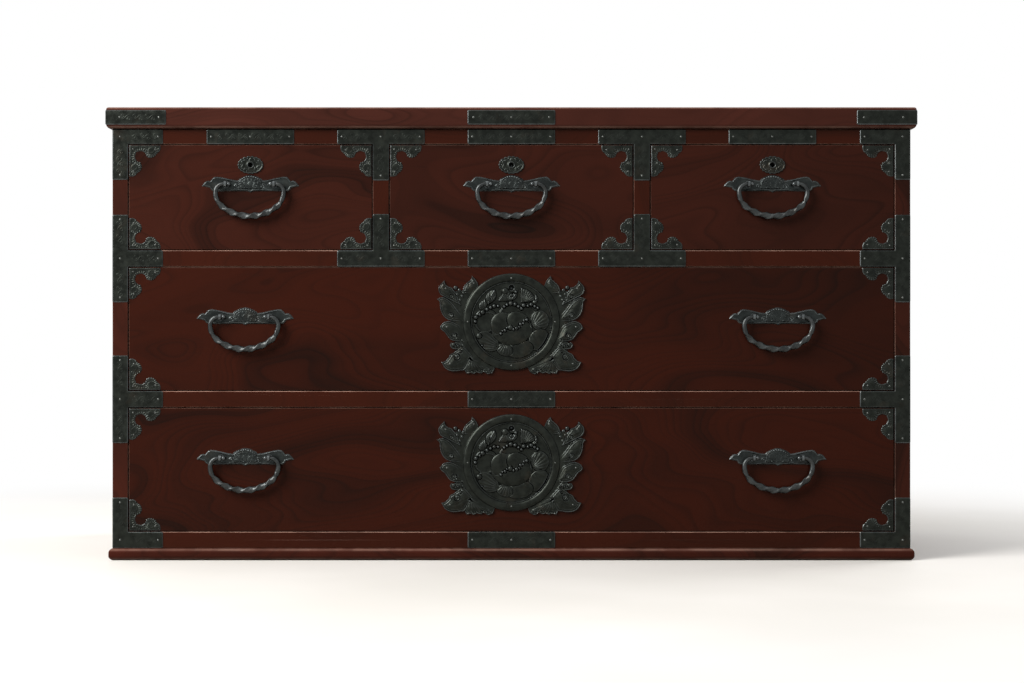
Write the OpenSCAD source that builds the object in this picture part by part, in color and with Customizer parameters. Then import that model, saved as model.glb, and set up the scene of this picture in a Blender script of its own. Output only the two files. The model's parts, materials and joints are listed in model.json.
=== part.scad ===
// Low chest of five drawers in lacquered figured hardwood with forged iron mounts.
// Millimetres. The origin is on the floor under the middle of the body, the front faces -Y and +Z is up.

/* [Body] */
// Width over the two side panels
body_w = 1185; // [1000:5:1450]
// Depth from the front frame to the back boards
body_d = 440; // [340:5:540]
// Thickness of the side panels, which show as the front's outer stiles
side_t = 23; // [18:0.5:30]
// Height of the opening of a full-width drawer
wide_bay_h = 185; // [172:1:240]
// Height of the opening of a small drawer
small_bay_h = 158; // [132:1:200]
// Height of the rails under and between the drawers
rail_h = 24; // [20:0.5:32]
// Height of the rail under the top board
top_rail_h = 22; // [18:0.5:30]
// Depth of the rails and posts, front to back
rail_d = 50; // [40:1:70]
// Width of the two posts between the small drawers
post_w = 24; // [18:0.5:32]
// Thickness of the panels behind the posts
partition_t = 20; // [12:0.5:24]
// Thickness of the back boards
back_t = 12; // [8:0.5:18]
// Number of back boards
back_count = 5; // [3:2:9]
// Thickness of the dust boards
dust_t = 5; // [3:0.5:6]
// Width of a drawer runner at the side panels
runner_w = 28; // [20:1:40]
// Width of the small flat taken off the exposed front edges
arris = 0.8; // [0.3:0.1:1.2]

/* [Top and base boards] */
// Thickness of the top board
top_t = 32; // [26:0.5:44]
// Overhang of the top board past each side panel
top_over_side = 7.5; // [3:0.5:15]
// Overhang of the top board past the front frame
top_over_front = 8; // [3:0.5:15]
// Radius of the top board's upper edge
top_round = 4; // [2:0.5:5]
// Radius of the top board's lower edge
top_round_low = 6.5; // [3:0.5:8]
// Thickness of the base board
base_t = 18; // [15:0.5:26]
// Overhang of the base board past each side and the front
base_over = 5; // [3:0.5:12]
// Radius of the base board's edges
base_round = 7; // [3:0.5:7]

/* [Drawers] */
// Gap round a drawer front
reveal = 1; // [0.6:0.1:2]
// Depth of a drawer front behind the frame's face
front_inset = 1; // [0.5:0.1:2]
// Thickness of a drawer front
front_t = 18; // [15:0.5:24]
// Thickness of a drawer's sides
drawer_side_t = 11; // [8:0.5:14]
// Thickness of a drawer's back
drawer_back_t = 11; // [8:0.5:14]
// Thickness of a drawer's bottom
drawer_bottom_t = 6; // [4:0.5:8]
// Height of a drawer's bottom above the lower edges of its sides
bottom_lift = 6; // [4:0.5:9]
// Depth of the grooves that hold the bottom
groove_d = 4; // [3:0.5:6]
// Free space between a drawer's back and the back boards, which the stops fill
rear_gap = 18; // [12:1:40]
// Height of the stop blocks on the runners
stop_h = 14; // [8:1:24]

/* [Iron plates and nails] */
// Thickness of the sheet iron
plate_t = 1.2; // [0.8:0.1:2]
// Arms of the corner and side plates, from the body's edge
plate_arm = 75; // [50:1:90]
// Length of the straight plates and of the long bar of the T plates
strap_l = 130; // [90:1:140]
// Length of a post plate's leg beyond its rail
tee_leg = 54; // [35:1:60]
// Corner radius of the plates
plate_round = 2; // [0.5:0.5:4]
// Distance of a nail from the end of its plate
nail_edge = 7; // [5:0.5:10]
// Height of the plates on the top board's edge
edge_plate_h = 21.5; // [14:0.5:22]
// Distance of those plates below the board's upper face
edge_plate_drop = 4.7; // [4:0.1:6]
// Front arm of the plates that wrap the top board's corners
wrap_front = 88.5; // [50:0.5:110]
// Side arm of the plates that wrap the top board's corners
wrap_side = 60; // [40:1:110]
// Radius of a nail's domed head
nail_head_r = 1.6; // [1:0.1:2.5]
// Height of a nail's head
nail_head_h = 0.8; // [0.5:0.1:1.5]
// Radius of a nail's shank
nail_r = 0.6; // [0.4:0.1:1]
// Length of a nail's shank
nail_l = 7; // [5:0.5:10]
// Leg of the ornaments on the drawers' corners
ornament_leg = 46.5; // [40:0.5:54]

/* [Handles] */
// Height from a small drawer's upper edge down to its handle's pivot
small_handle_drop = 59; // [57:0.5:70]
// Height from a full-width drawer's upper edge down to its handles' pivots
wide_handle_drop = 74; // [60:0.5:95]
// Distance from a full-width opening's side to the middle of a handle
wide_handle_edge = 174; // [130:1:220]
// Half the distance between a handle's two eye posts
post_half = 36; // [34:0.5:38]
// Half width of a bail, measured at the middle of its bar
bail_half = 50.5; // [49:0.5:54]
// Drop of a bail from its pivot to the middle of its grip
bail_drop = 47.7; // [44:0.1:52]
// Radius of the bend between a bail's arm and its grip
bail_bend = 28; // [25:0.5:29]
// Radius of a bail's arms
arm_r = 3.4; // [2.8:0.1:4]
// Radius of a bail's grip
grip_r = 4.4; // [3.6:0.1:5]
// Radius of a bail's pins, which turn in the eyes
pin_r = 2.5; // [2:0.1:3]
// Radial clearance of a bail's pins
pin_clear = 0.1; // [0.05:0.01:0.1]
// Radius of an eye
eye_r = 4.8; // [4:0.1:6]
// Width of an eye
eye_w = 3.2; // [2.5:0.1:4]
// Distance of the pivot from the face of the handle's plate
standoff = 7.8; // [7:0.1:10]
// Radius of a post's shank through the drawer front
shank_r = 2; // [1.5:0.1:2.5]
// Radius of a post's clenched end inside the drawer
clench_r = 4.2; // [3:0.1:5]

/* [Locks] */
// Height from a drawer's upper edge down to its keyhole
keyhole_drop = 30; // [28:0.5:34]
// Radius of the keyholes in the wood and the large lock plates
keyhole_r = 4; // [3.5:0.1:5]
// Radius of the keyhole in a small drawer's lock plate
small_keyhole_r = 3.5; // [3:0.1:4]
// Distance from the keyhole down to the middle of a large lock plate
lock_plate_drop = 51; // [48:0.5:52]
// Radius of a large lock plate's disc
disc_r = 74; // [66:0.5:76]
// Width of the raised rim of that disc
rim_w = 15; // [10:0.5:20]
// Height of the raised rim
rim_h = 3.6; // [2.5:0.1:5]
// Width of a small drawer's lock plate
oval_w = 39; // [30:0.5:44]
// Height of a small drawer's lock plate
oval_h = 27.5; // [22:0.5:28]
// Thickness of the lock cases' sheet
case_t = 1.2; // [0.8:0.1:1.6]
// Thickness of a bolt
bolt_t = 2.5; // [2:0.1:3.5]
// Width of a bolt's head
bolt_head_w = 16; // [10:0.5:20]
// Travel of a bolt into the rail above
bolt_travel = 6.5; // [4:0.5:7]

/* [Clearances] */
// Gap between glued or nailed solids of one node
glue_gap = 0.1; // [0.05:0.05:0.2]
// Gap between a tenon, tongue or bolt and the cut it sits in
fit_gap = 0.3; // [0.2:0.05:0.5]
// Running gap under a drawer's sides
run_gap = 0.3; // [0.2:0.05:0.5]
// Gap round a nail in its plate and in the wood
nail_gap = 0.05; // [0.03:0.01:0.1]

/* [Hidden] */
$fn = 48;
WOOD = "#4a1f18";
DARK_WOOD = "#3c1813";
PALE_WOOD = "#c9b08a";
IRON = "#2f3432";
BRIGHT = "#8d9090";

DRAWERS = ["left", "centre", "right", "upper_wide", "lower_wide"];
SIDES = [-1, 1];
SIDE_NAMES = ["left", "right"];
FIRST_WIDE = 3;
TOP = 3;

// The front's heights, from the floor up
z_bottom_rail = base_t;
z_lower_bay = z_bottom_rail + rail_h;
z_lower_rail = z_lower_bay + wide_bay_h;
z_upper_bay = z_lower_rail + rail_h;
z_upper_rail = z_upper_bay + wide_bay_h;
z_small_bay = z_upper_rail + rail_h;
z_top_rail = z_small_bay + small_bay_h;
z_top_board = z_top_rail + top_rail_h;
z_top = z_top_board + top_t;
// Each rail's lower edge and height, from the bottom rail to the top rail
RAILS = [
    [z_bottom_rail, rail_h],
    [z_lower_rail, rail_h],
    [z_upper_rail, rail_h],
    [z_top_rail, top_rail_h],
];
LAST_RUNNER_RAIL = 2;

// Places across and from front to back
half_w = body_w / 2;
inner_w = body_w - 2 * side_t;
small_bay_w = (inner_w - 2 * post_w) / 3;
bay_pitch = small_bay_w + post_w;
post_x = bay_pitch / 2;
stile_mid = half_w - side_t / 2;
front_y = -body_d / 2;
back_y = body_d / 2;
inner_back = back_y - back_t;
rail_back = front_y + rail_d;
top_front = front_y - top_over_front;
top_half_w = half_w + top_over_side;
edge_plate_mid = z_top - edge_plate_drop - edge_plate_h / 2;

// Tenons of the rails and posts
tenon_l = 12;
tenon_in = 12;
tenon_d = rail_d - 2 * tenon_in;
tenon_shoulder = 4;
post_tenon_l = 7;

// Grooves for the dust boards
dust_groove = 8;
dust_z = 4;

// Drawers, in a frame whose origin is the middle of the opening's lower front edge
drawer_l = body_d - back_t - rear_gap;
inside_y = front_inset + front_t;
lap = front_t / 2;
side_drop = 3;
back_drop = 8;

// Handles and locks
pivot_y = front_inset - plate_t - standoff;
bail_start = post_half + eye_w / 2 + 0.8;
knob_r = pin_r + 0.7;
bend_growth = 0.25;
knob_x = post_half - eye_w / 2 - fit_gap - knob_r;
post_flange_r = 5.2;
post_flange_t = 1;
neck_r = 2.2;
clench_t = 1.2;
crest_t = 1.3;
disc_t = 1.5;
leaf_t = 2;
case_w = 40;
case_d = 11;
case_low = 20;
case_high = 25;
case_flange = 12;
bolt_y = 5;
bolt_low = case_low - case_t - fit_gap;
bolt_high = 14;
bolt_rest = keyhole_drop - 1;
bolt_window_w = 18;
key_pin_r = 1.5;

function is_wide(i) = i >= FIRST_WIDE;
function bay_w(i) = is_wide(i) ? inner_w : small_bay_w;
function bay_h(i) = is_wide(i) ? wide_bay_h : small_bay_h;
function bay_x(i) = is_wide(i) ? 0 : (i - 1) * bay_pitch;
function bay_z(i) = !is_wide(i) ? z_small_bay : i == FIRST_WIDE ? z_upper_bay : z_lower_bay;
function front_w(i) = bay_w(i) - 2 * reveal;
function front_top(i) = bay_h(i) - reveal;
function key_z(i) = front_top(i) - keyhole_drop;
function pivot_z(i) = front_top(i) - (is_wide(i) ? wide_handle_drop : small_handle_drop);
function wide_handle_x() = inner_w / 2 - wide_handle_edge;
function handles_x(i) = is_wide(i) ? [for (s = SIDES) s * wide_handle_x()] : [0];
function rail_mid(k) = RAILS[k][0] + RAILS[k][1] / 2;

// Straight plates, as [x, rail]
STRAPS = concat([for (k = [0 : TOP]) [0, k]], [for (s = SIDES) [s * bay_pitch, TOP]]);

// Nails of the frame's plates, as [x, z] on the frame's face
strap_nail = strap_l / 2 - nail_edge;
arm_nail_x = half_w - plate_arm + nail_edge;
function corner_nails(s, k) = [
    [s * stile_mid, rail_mid(k)],
    [s * arm_nail_x, rail_mid(k)],
    [s * stile_mid, k == TOP ? z_top_board - plate_arm + nail_edge : z_bottom_rail + plate_arm - nail_edge],
];
function side_tee_nails(s, k) = concat(
    [for (dz = [-strap_nail, 0, strap_nail]) [s * stile_mid, rail_mid(k) + dz]],
    [[s * arm_nail_x, rail_mid(k)]]
);
function post_tee_nails(s, k) = concat(
    [for (dx = [-strap_nail, 0, strap_nail]) [s * post_x + dx, rail_mid(k)]],
    [[s * post_x, k == TOP ? z_top_rail - tee_leg + nail_edge : z_small_bay + tee_leg - nail_edge]]
);
function strap_nails(p) = [for (dx = [-strap_nail, 0, strap_nail]) [p[0] + dx, rail_mid(p[1])]];
FRAME_NAILS = concat(
    [for (s = SIDES, k = [0, TOP]) each corner_nails(s, k)],
    [for (s = SIDES, k = [1, 2]) each side_tee_nails(s, k)],
    [for (s = SIDES, k = [2, TOP]) each post_tee_nails(s, k)],
    [for (p = STRAPS) each strap_nails(p)]
);
// Nails along the top board's front edge, and those on its two ends
wrap_nails_x = [top_half_w - 20, top_half_w - wrap_front + 10.5];
wrap_nails_y = [top_front + 20, top_front + wrap_side - 10];
TOP_NAILS_X = concat([for (s = SIDES, x = wrap_nails_x) s * x], [-56, 0, 56]);

// Nails of a drawer's corner ornaments, from the corner, and of its large lock plate, from the disc's middle
ORNAMENT_NAILS = [[6.6, 6.6], [ornament_leg - 7, 7.5], [7.5, ornament_leg - 7]];
RIM_NAILS = [for (a = [0 : 90 : 270]) (disc_r - rim_w / 2) * [cos(a), sin(a)]];
// Leaves of the large lock plate's right wing: [x, z, direction, length, width], from the disc's middle
LEAVES = [
    [63, 51, 78, 42, 20],
    [88, 50, 52, 50, 24],
    [92, 24, 40, 54, 26],
    [88, -4, 12, 50, 25],
    [76, -33, -4, 40, 18],
    [84, -55, -14, 48, 24],
    [58, -63, -30, 44, 22],
];
LEAF_NAILS = [[98, 57], [101, -4], [97, -57]];

// A box between two corners
module block(x0, x1, y0, y1, z0, z1) {
    translate([x0, y0, z0]) cube([x1 - x0, y1 - y0, z1 - z0]);
}

// Stands a flat drawing of [x, z] on the frame's face, so that it is extruded forwards
module on_front(y = front_y) {
    translate([0, y, 0]) rotate([90, 0, 0]) children();
}

// Lays a section of [y, z] along X, w long and centred
module along_x(w) {
    translate([-w / 2, 0, 0]) rotate([90, 0, 90]) linear_extrude(w) children();
}

// Places a drawer's own frame in its opening
module in_bay(i) {
    translate([bay_x(i), front_y, bay_z(i)]) children();
}

// Stands a flat drawing of [x, z] on a drawer's face
module on_face(i) {
    in_bay(i) on_front(front_inset) children();
}

// What is left outside a round of radius r in a corner at the origin
module corner_waste(r) {
    difference() {
        translate([-1, -1]) square(r + 1);
        translate([r, r]) circle(r);
    }
}

// Section of a board from x0 to x1 with rounded edges at x0, and at x1 too if both is true
module board_section(x0, x1, t, r_top, r_low, both) {
    difference() {
        translate([x0, 0]) square([x1 - x0, t]);
        translate([x0, 0]) corner_waste(r_low);
        translate([x0, t]) mirror([0, 1]) corner_waste(r_top);
        if (both) {
            translate([x1, 0]) mirror([1, 0]) corner_waste(r_low);
            translate([x1, t]) rotate(180) corner_waste(r_top);
        }
    }
}

// A board with rounded front and side edges and a square back edge
module edged_board(half, y0, y1, t, r_top, r_low) {
    intersection() {
        along_x(2 * half + 2) board_section(y0, y1, t, r_top, r_low, false);
        translate([0, y1 + 1, 0]) rotate([90, 0, 0]) linear_extrude(y1 - y0 + 2)
            board_section(-half, half, t, r_top, r_low, true);
    }
}

// A flat plate shape between two corners, with rounded corners
module plate_rect(x0, x1, z0, z1) {
    r = plate_round;
    translate([x0 + r, z0]) square([x1 - x0 - 2 * r, z1 - z0]);
    translate([x0, z0 + r]) square([x1 - x0, z1 - z0 - 2 * r]);
    for (x = [x0 + r, x1 - r], z = [z0 + r, z1 - r]) translate([x, z]) circle(r);
}

// A nail at the origin of a flat drawing: its head stands on a plate of thickness t
module nail(t) {
    translate([0, 0, t + nail_gap]) rotate_extrude() intersection() {
        cap_r = (pow(nail_head_r, 2) + pow(nail_head_h, 2)) / (2 * nail_head_h);
        translate([0, nail_head_h - cap_r]) circle(cap_r);
        square([nail_head_r, nail_head_h]);
    }
    translate([0, 0, t - nail_l]) cylinder(r = nail_r, h = nail_l + nail_gap);
}

// The hole for a nail, through a plate of thickness t and into the wood
module nail_hole(t) {
    depth = nail_l - t + fit_gap;
    translate([0, 0, -depth]) cylinder(r = nail_r + nail_gap, h = depth + t + 1);
}

// Nail holes of the frame's plates between two heights
module frame_nail_holes(z0, z1) {
    on_front() for (p = FRAME_NAILS) if (p[1] > z0 && p[1] < z1) translate(p) nail_hole(plate_t);
}

module top_board_nails(hole) {
    on_front(top_front) for (x = TOP_NAILS_X) translate([x, edge_plate_mid]) {
        if (hole) nail_hole(plate_t);
        else nail(plate_t);
    }
    for (s = SIDES, y = wrap_nails_y) {
        translate([s * top_half_w, y, edge_plate_mid]) rotate([0, s * 90, 0]) {
            if (hole) nail_hole(plate_t);
            else nail(plate_t);
        }
    }
}

module top_board() {
    color(WOOD) difference() {
        translate([0, 0, z_top_board])
            edged_board(top_half_w, top_front, back_y, top_t, top_round, top_round_low);
        top_board_nails(true);
    }
}

module base_board() {
    color(WOOD) edged_board(half_w + base_over, front_y - base_over, back_y, base_t, base_round, base_round);
}

// Tenon at a rail's end, with gap all round for the mortise
module rail_tenon(k, gap) {
    z0 = RAILS[k][0] + tenon_shoulder;
    z1 = RAILS[k][0] + RAILS[k][1] - tenon_shoulder;
    half = inner_w / 2 + tenon_l + gap;
    y0 = front_y + tenon_in;
    block(-half, half, y0 - gap, y0 + tenon_d + gap, z0 - gap, z1 + gap);
}

module side_panel(s) {
    color(WOOD) difference() {
        translate([s * stile_mid, 0, base_t]) linear_extrude(z_top_board - base_t) polygon([
            [-side_t / 2, front_y + arris], [-side_t / 2 + arris, front_y],
            [side_t / 2 - arris, front_y], [side_t / 2, front_y + arris],
            [side_t / 2, back_y], [-side_t / 2, back_y],
        ]);
        for (k = [0 : TOP]) rail_tenon(k, fit_gap);
        intersection() {
            frame_nail_holes(base_t, z_top_board);
            translate([s * stile_mid, front_y, z_top / 2]) cube([side_t, 2 * nail_l, z_top], center = true);
        }
    }
}

// Post between the small drawers, with a tenon at each end
module post(s, gap) {
    x = s * post_x;
    y0 = front_y + tenon_in;
    half = post_w / 2 - tenon_shoulder + gap;
    if (gap == 0) translate([x, front_y, z_small_bay]) linear_extrude(small_bay_h) polygon([
        [-post_w / 2, arris], [-post_w / 2 + arris, 0], [post_w / 2 - arris, 0],
        [post_w / 2, arris], [post_w / 2, rail_d], [-post_w / 2, rail_d],
    ]);
    block(x - half, x + half, y0 - gap, y0 + tenon_d + gap,
        z_small_bay - post_tenon_l - gap, z_top_rail + post_tenon_l + gap);
}

// Mortises in the rails for the lock bolts of the drawers under them
module bolt_mortises() {
    half = bolt_head_w / 2 + fit_gap;
    for (i = [0 : 4]) in_bay(i) translate([0, inside_y + bolt_y, 0])
        block(-half, half, -fit_gap, bolt_t + fit_gap, bay_h(i) - 1, bay_h(i) + bolt_travel + 1);
}

module front_rails() {
    color(WOOD) difference() {
        for (k = [0 : TOP]) {
            z0 = RAILS[k][0];
            z1 = z0 + RAILS[k][1];
            along_x(inner_w) polygon([
                [front_y, z0 + arris], [front_y + arris, z0], [rail_back, z0],
                [rail_back, z1], [front_y + arris, z1], [front_y, z1 - arris],
            ]);
            rail_tenon(k, 0);
        }
        for (s = SIDES) post(s, fit_gap);
        for (k = [1, 2]) dust_board(k, fit_gap);
        bolt_mortises();
        for (k = [0 : TOP]) frame_nail_holes(RAILS[k][0], RAILS[k][0] + RAILS[k][1]);
    }
}

// Posts between the small drawers and the panels behind them
module partitions() {
    color(DARK_WOOD) difference() {
        for (s = SIDES) {
            post(s, 0);
            block(s * post_x - partition_t / 2, s * post_x + partition_t / 2,
                rail_back + glue_gap, inner_back, z_small_bay, z_top_board);
        }
        frame_nail_holes(z_small_bay, z_top_rail);
    }
}

module back_boards() {
    w = inner_w / back_count;
    color(PALE_WOOD) for (n = [0 : back_count - 1]) {
        x0 = -inner_w / 2 + n * w;
        block(x0 + glue_gap / 2, x0 + w - glue_gap / 2, inner_back, back_y, base_t, z_top_board);
    }
}

// Dust board behind rail k, in the grooves of the rail and the side runners
module dust_board(k, gap) {
    half = inner_w / 2 - runner_w + dust_groove - fit_gap + gap;
    z0 = RAILS[k][0] + dust_z;
    block(-half, half, rail_back - dust_groove + fit_gap - gap, inner_back, z0 - gap, z0 + dust_t + gap);
}

module dust_boards() {
    color(PALE_WOOD) for (k = [1, 2]) dust_board(k, 0);
}

// Runners along the side panels at every rail, and under the posts for the small drawers
module drawer_runners() {
    color(PALE_WOOD) {
        difference() {
            for (k = [0 : LAST_RUNNER_RAIL], s = SIDES) {
                x = [s * inner_w / 2, s * (inner_w / 2 - runner_w)];
                block(min(x), max(x), rail_back, inner_back, RAILS[k][0], RAILS[k][0] + RAILS[k][1]);
            }
            for (k = [1, 2]) dust_board(k, fit_gap);
        }
        half = post_w / 2 + reveal + drawer_side_t + 2;
        for (s = SIDES) block(s * post_x - half, s * post_x + half, rail_back, inner_back,
            z_upper_rail + dust_z + dust_t, z_small_bay);
    }
}

// Two stop blocks behind each drawer, on the runners
module drawer_stops() {
    color(PALE_WOOD) for (i = [0 : 4], s = SIDES) in_bay(i) {
        x1 = bay_w(i) / 2 - reveal;
        x = [s * x1, s * (x1 - drawer_side_t)];
        block(min(x), max(x), drawer_l + run_gap, body_d - back_t, 0, stop_h);
    }
}

// Plates that wrap the top board's front corners, and the one in the middle of its edge
module top_board_plates() {
    z0 = edge_plate_mid - edge_plate_h / 2;
    z1 = z0 + edge_plate_h;
    color(IRON) difference() {
        union() {
            on_front(top_front) linear_extrude(plate_t) {
                plate_rect(-strap_l / 2, strap_l / 2, z0, z1);
            }
            for (s = SIDES) {
                x = [s * (top_half_w - wrap_front), s * (top_half_w + plate_t)];
                block(min(x), max(x), top_front - plate_t, top_front, z0, z1);
                x_side = [s * top_half_w, s * (top_half_w + plate_t)];
                block(min(x_side), max(x_side), top_front - plate_t, top_front + wrap_side, z0, z1);
            }
        }
        top_board_nails(true);
    }
}

// L plates at the frame's corners, T plates at the rails' ends and at the posts, straight plates between
module frame_plates() {
    color(IRON) difference() {
        on_front() linear_extrude(plate_t) {
            for (s = SIDES) {
                stile = [s * half_w, s * (half_w - side_t)];
                arm = [s * half_w, s * (half_w - plate_arm)];
                for (k = [0, TOP]) {
                    z0 = RAILS[k][0];
                    z1 = z0 + RAILS[k][1];
                    plate_rect(min(arm), max(arm), z0, z1);
                    if (k == TOP) plate_rect(min(stile), max(stile), z_top_board - plate_arm, z_top_board);
                    else plate_rect(min(stile), max(stile), z_bottom_rail, z_bottom_rail + plate_arm);
                }
                for (k = [1, 2]) {
                    plate_rect(min(arm), max(arm), RAILS[k][0], RAILS[k][0] + RAILS[k][1]);
                    plate_rect(min(stile), max(stile), rail_mid(k) - strap_l / 2, rail_mid(k) + strap_l / 2);
                }
                for (k = [2, TOP]) {
                    z0 = RAILS[k][0];
                    z1 = z0 + RAILS[k][1];
                    x = s * post_x;
                    plate_rect(x - strap_l / 2, x + strap_l / 2, z0, z1);
                    plate_rect(x - post_w / 2, x + post_w / 2,
                        k == TOP ? z0 - tee_leg : z0, k == TOP ? z1 : z1 + tee_leg);
                }
            }
            for (p = STRAPS) plate_rect(p[0] - strap_l / 2, p[0] + strap_l / 2,
                RAILS[p[1]][0], RAILS[p[1]][0] + RAILS[p[1]][1]);
        }
        frame_nail_holes(0, z_top);
    }
}

module frame_nails() {
    color(BRIGHT) {
        on_front() for (p = FRAME_NAILS) translate(p) nail(plate_t);
        top_board_nails(false);
    }
}

// The four corners of drawer i's face: each child is drawn from the corner inwards
module at_corners(i) {
    half = front_w(i) / 2;
    on_face(i) for (s = SIDES, low = [0, 1]) {
        translate([s * half, low == 1 ? reveal : front_top(i)])
            mirror([s == 1 ? 1 : 0, 0]) mirror([0, low == 1 ? 0 : 1]) children();
    }
}

// Nails of drawer i: what stands on its corners and its large lock plate
module drawer_nail_holes(i) {
    at_corners(i) for (p = ORNAMENT_NAILS) translate(p) nail_hole(plate_t);
    if (is_wide(i)) on_face(i) translate([0, key_z(i) - lock_plate_drop]) {
        for (p = RIM_NAILS) translate(p) nail_hole(rim_h);
        for (s = SIDES, p = LEAF_NAILS) translate([s * p[0], p[1]]) nail_hole(leaf_t);
    }
}

// A board of drawer i's front, with the arris taken off its face
module front_blank(i) {
    w = front_w(i);
    z0 = reveal;
    z1 = front_top(i);
    y0 = front_inset;
    y1 = inside_y;
    intersection() {
        linear_extrude(bay_h(i)) polygon([
            [-w / 2, y1], [-w / 2, y0 + arris], [-w / 2 + arris, y0],
            [w / 2 - arris, y0], [w / 2, y0 + arris], [w / 2, y1],
        ]);
        along_x(bay_w(i)) polygon([
            [y0, z0 + arris], [y0 + arris, z0], [y1, z0], [y1, z1], [y0 + arris, z1], [y0, z1 - arris],
        ]);
    }
}

module drawer_front(i) {
    half = front_w(i) / 2;
    z_groove = run_gap + bottom_lift;
    color(WOOD) difference() {
        in_bay(i) difference() {
            front_blank(i);
            for (s = SIDES) {
                x = [s * (half + 1), s * (half - drawer_side_t - glue_gap)];
                block(min(x), max(x), inside_y - lap, inside_y + 1, -1, bay_h(i));
            }
            block(-half, half, inside_y - groove_d, inside_y + 1,
                z_groove - glue_gap, z_groove + drawer_bottom_t + glue_gap);
            translate([0, 0, key_z(i)]) rotate([90, 0, 0])
                cylinder(r = keyhole_r, h = 3 * inside_y, center = true);
            for (x = handles_x(i), s = SIDES) translate([x + s * post_half, 0, pivot_z(i)]) rotate([90, 0, 0])
                cylinder(r = shank_r + fit_gap / 2, h = 3 * inside_y, center = true);
            lock_nails(i, true);
        }
        drawer_nail_holes(i);
    }
}

// Two sides, the back and the bottom, each a separate board
module drawer_box(i) {
    half = front_w(i) / 2;
    z_bottom = run_gap + bottom_lift;
    z_above = z_bottom + drawer_bottom_t;
    inner = half - drawer_side_t;
    back_front = drawer_l - drawer_back_t;
    color(PALE_WOOD) in_bay(i) {
        for (s = SIDES) difference() {
            x = [s * half, s * inner];
            block(min(x), max(x), inside_y - lap + glue_gap, drawer_l, run_gap, front_top(i) - side_drop);
            block(-inner - groove_d, inner + groove_d, 0, body_d,
                z_bottom - glue_gap, z_above + glue_gap);
        }
        block(-inner + glue_gap, inner - glue_gap, back_front, drawer_l,
            z_above + glue_gap, front_top(i) - back_drop);
        block(-inner - groove_d + glue_gap, inner + groove_d - glue_gap,
            inside_y - groove_d + glue_gap, drawer_l, z_bottom, z_above);
    }
}

// Corner ornament: two scalloped legs with a round cut between them
module ornament_shape() {
    tip = ornament_leg;
    difference() {
        union() for (m = [0, 1]) mirror([m, -m]) {
            square([tip - 9, 13]);
            translate([tip - 9, 4.5]) circle(9);
            square([tip, 4.5]);
            translate([tip - 14.5, 12.5]) circle(6.5);
        }
        translate([16.3, 16.3]) circle(8);
        translate([-20, -20]) square([tip + 30, 20]);
        translate([-20, -20]) square([20, tip + 30]);
    }
}

module corner_plates(i) {
    color(IRON) at_corners(i) difference() {
        translate([arris, arris, 0]) linear_extrude(plate_t) ornament_shape();
        for (p = ORNAMENT_NAILS) translate(p) nail_hole(plate_t);
    }
    color(BRIGHT) at_corners(i) for (p = ORNAMENT_NAILS) translate(p) nail(plate_t);
}

// Outline of a handle's plate about the pivot: pointed ends, two shoulders and a scalloped crest
module handle_outline() {
    half = [
        [0, -9.7], [54, -9.7], [60, -5.2], [66, -4.2], [72, -2], [69, 2], [60, 4],
        [56.7, 8.9], [52.7, 11.2], [44, 10.8], [26, 6.6], [0, 5.2],
    ];
    for (m = [0, 1]) mirror([m, 0]) {
        polygon(half);
        translate([63.5, 0.6]) circle(4.6);
        translate([52, 4]) circle(7.2);
    }
    crest_outline();
}

// The scalloped middle of a handle's plate
module crest_outline() {
    for (a = [10 : 20 : 170]) translate([14 * cos(a), 3 + 8 * sin(a)]) circle(3.2);
    polygon([for (a = [0 : 20 : 360]) [15 * cos(a), 2 + 10 * sin(a)]]);
    translate([0, -8]) circle(3.4);
}

module handle_plate(i) {
    color(IRON) on_face(i) for (x = handles_x(i)) translate([x, pivot_z(i)]) difference() {
        union() {
            linear_extrude(plate_t) handle_outline();
            linear_extrude(plate_t + crest_t) crest_outline();
        }
        for (s = SIDES) translate([s * post_half, 0, -1]) cylinder(r = shank_r + fit_gap / 2, h = 5);
    }
}

// Eye post: an eye on a flanged neck, with a shank through the front and a clenched end inside
module eye_post() {
    face = standoff;
    inside = standoff + plate_t + front_t;
    difference() {
        union() {
            rotate([0, 90, 0]) cylinder(r = eye_r, h = eye_w, center = true);
            rotate([-90, 0, 0]) {
                cylinder(r = neck_r, h = face);
                translate([0, 0, face - post_flange_t]) cylinder(r = post_flange_r, h = post_flange_t);
                cylinder(r = shank_r, h = inside + clench_t);
                translate([0, 0, inside]) cylinder(r = clench_r, h = clench_t);
            }
        }
        rotate([0, 90, 0]) cylinder(r = pin_r + pin_clear, h = 4 * neck_r, center = true);
    }
}

module handle_posts(i) {
    color(IRON) in_bay(i) for (x = handles_x(i), s = SIDES)
        translate([x + s * post_half, pivot_y, pivot_z(i)]) eye_post();
}

// Bail in the plane of X and -Y: pins that point inwards, arms that thicken, and a grip on a wide arc.
// Each thicker stretch runs a little over the end of the thinner one.
module bail_shape() {
    r1 = bail_half - bail_start;
    a = bail_half - bail_bend;
    b = bail_drop - r1;
    r3 = (a * a + b * b - bail_bend * bail_bend) / (2 * (b - bail_bend));
    turn = atan2(r3 - b, a);
    lap_angle = 3;
    for (m = [0, 1]) mirror([m, 0, 0]) {
        translate([knob_x, 0, 0]) rotate([0, 90, 0]) cylinder(r = pin_r, h = bail_start - knob_x + 1.5);
        translate([knob_x, 0, 0]) sphere(knob_r);
        translate([bail_start, -r1, 0]) rotate_extrude(angle = 90) translate([r1, 0]) circle(arm_r);
        translate([a, -r1, 0]) rotate(-turn) rotate_extrude(angle = turn + lap_angle)
            translate([bail_bend, 0]) circle(arm_r + bend_growth);
    }
    translate([0, r3 - bail_drop, 0]) rotate(turn - 180 - lap_angle)
        rotate_extrude(angle = 180 - 2 * turn + 2 * lap_angle) translate([r3, 0]) circle(grip_r);
}

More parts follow.
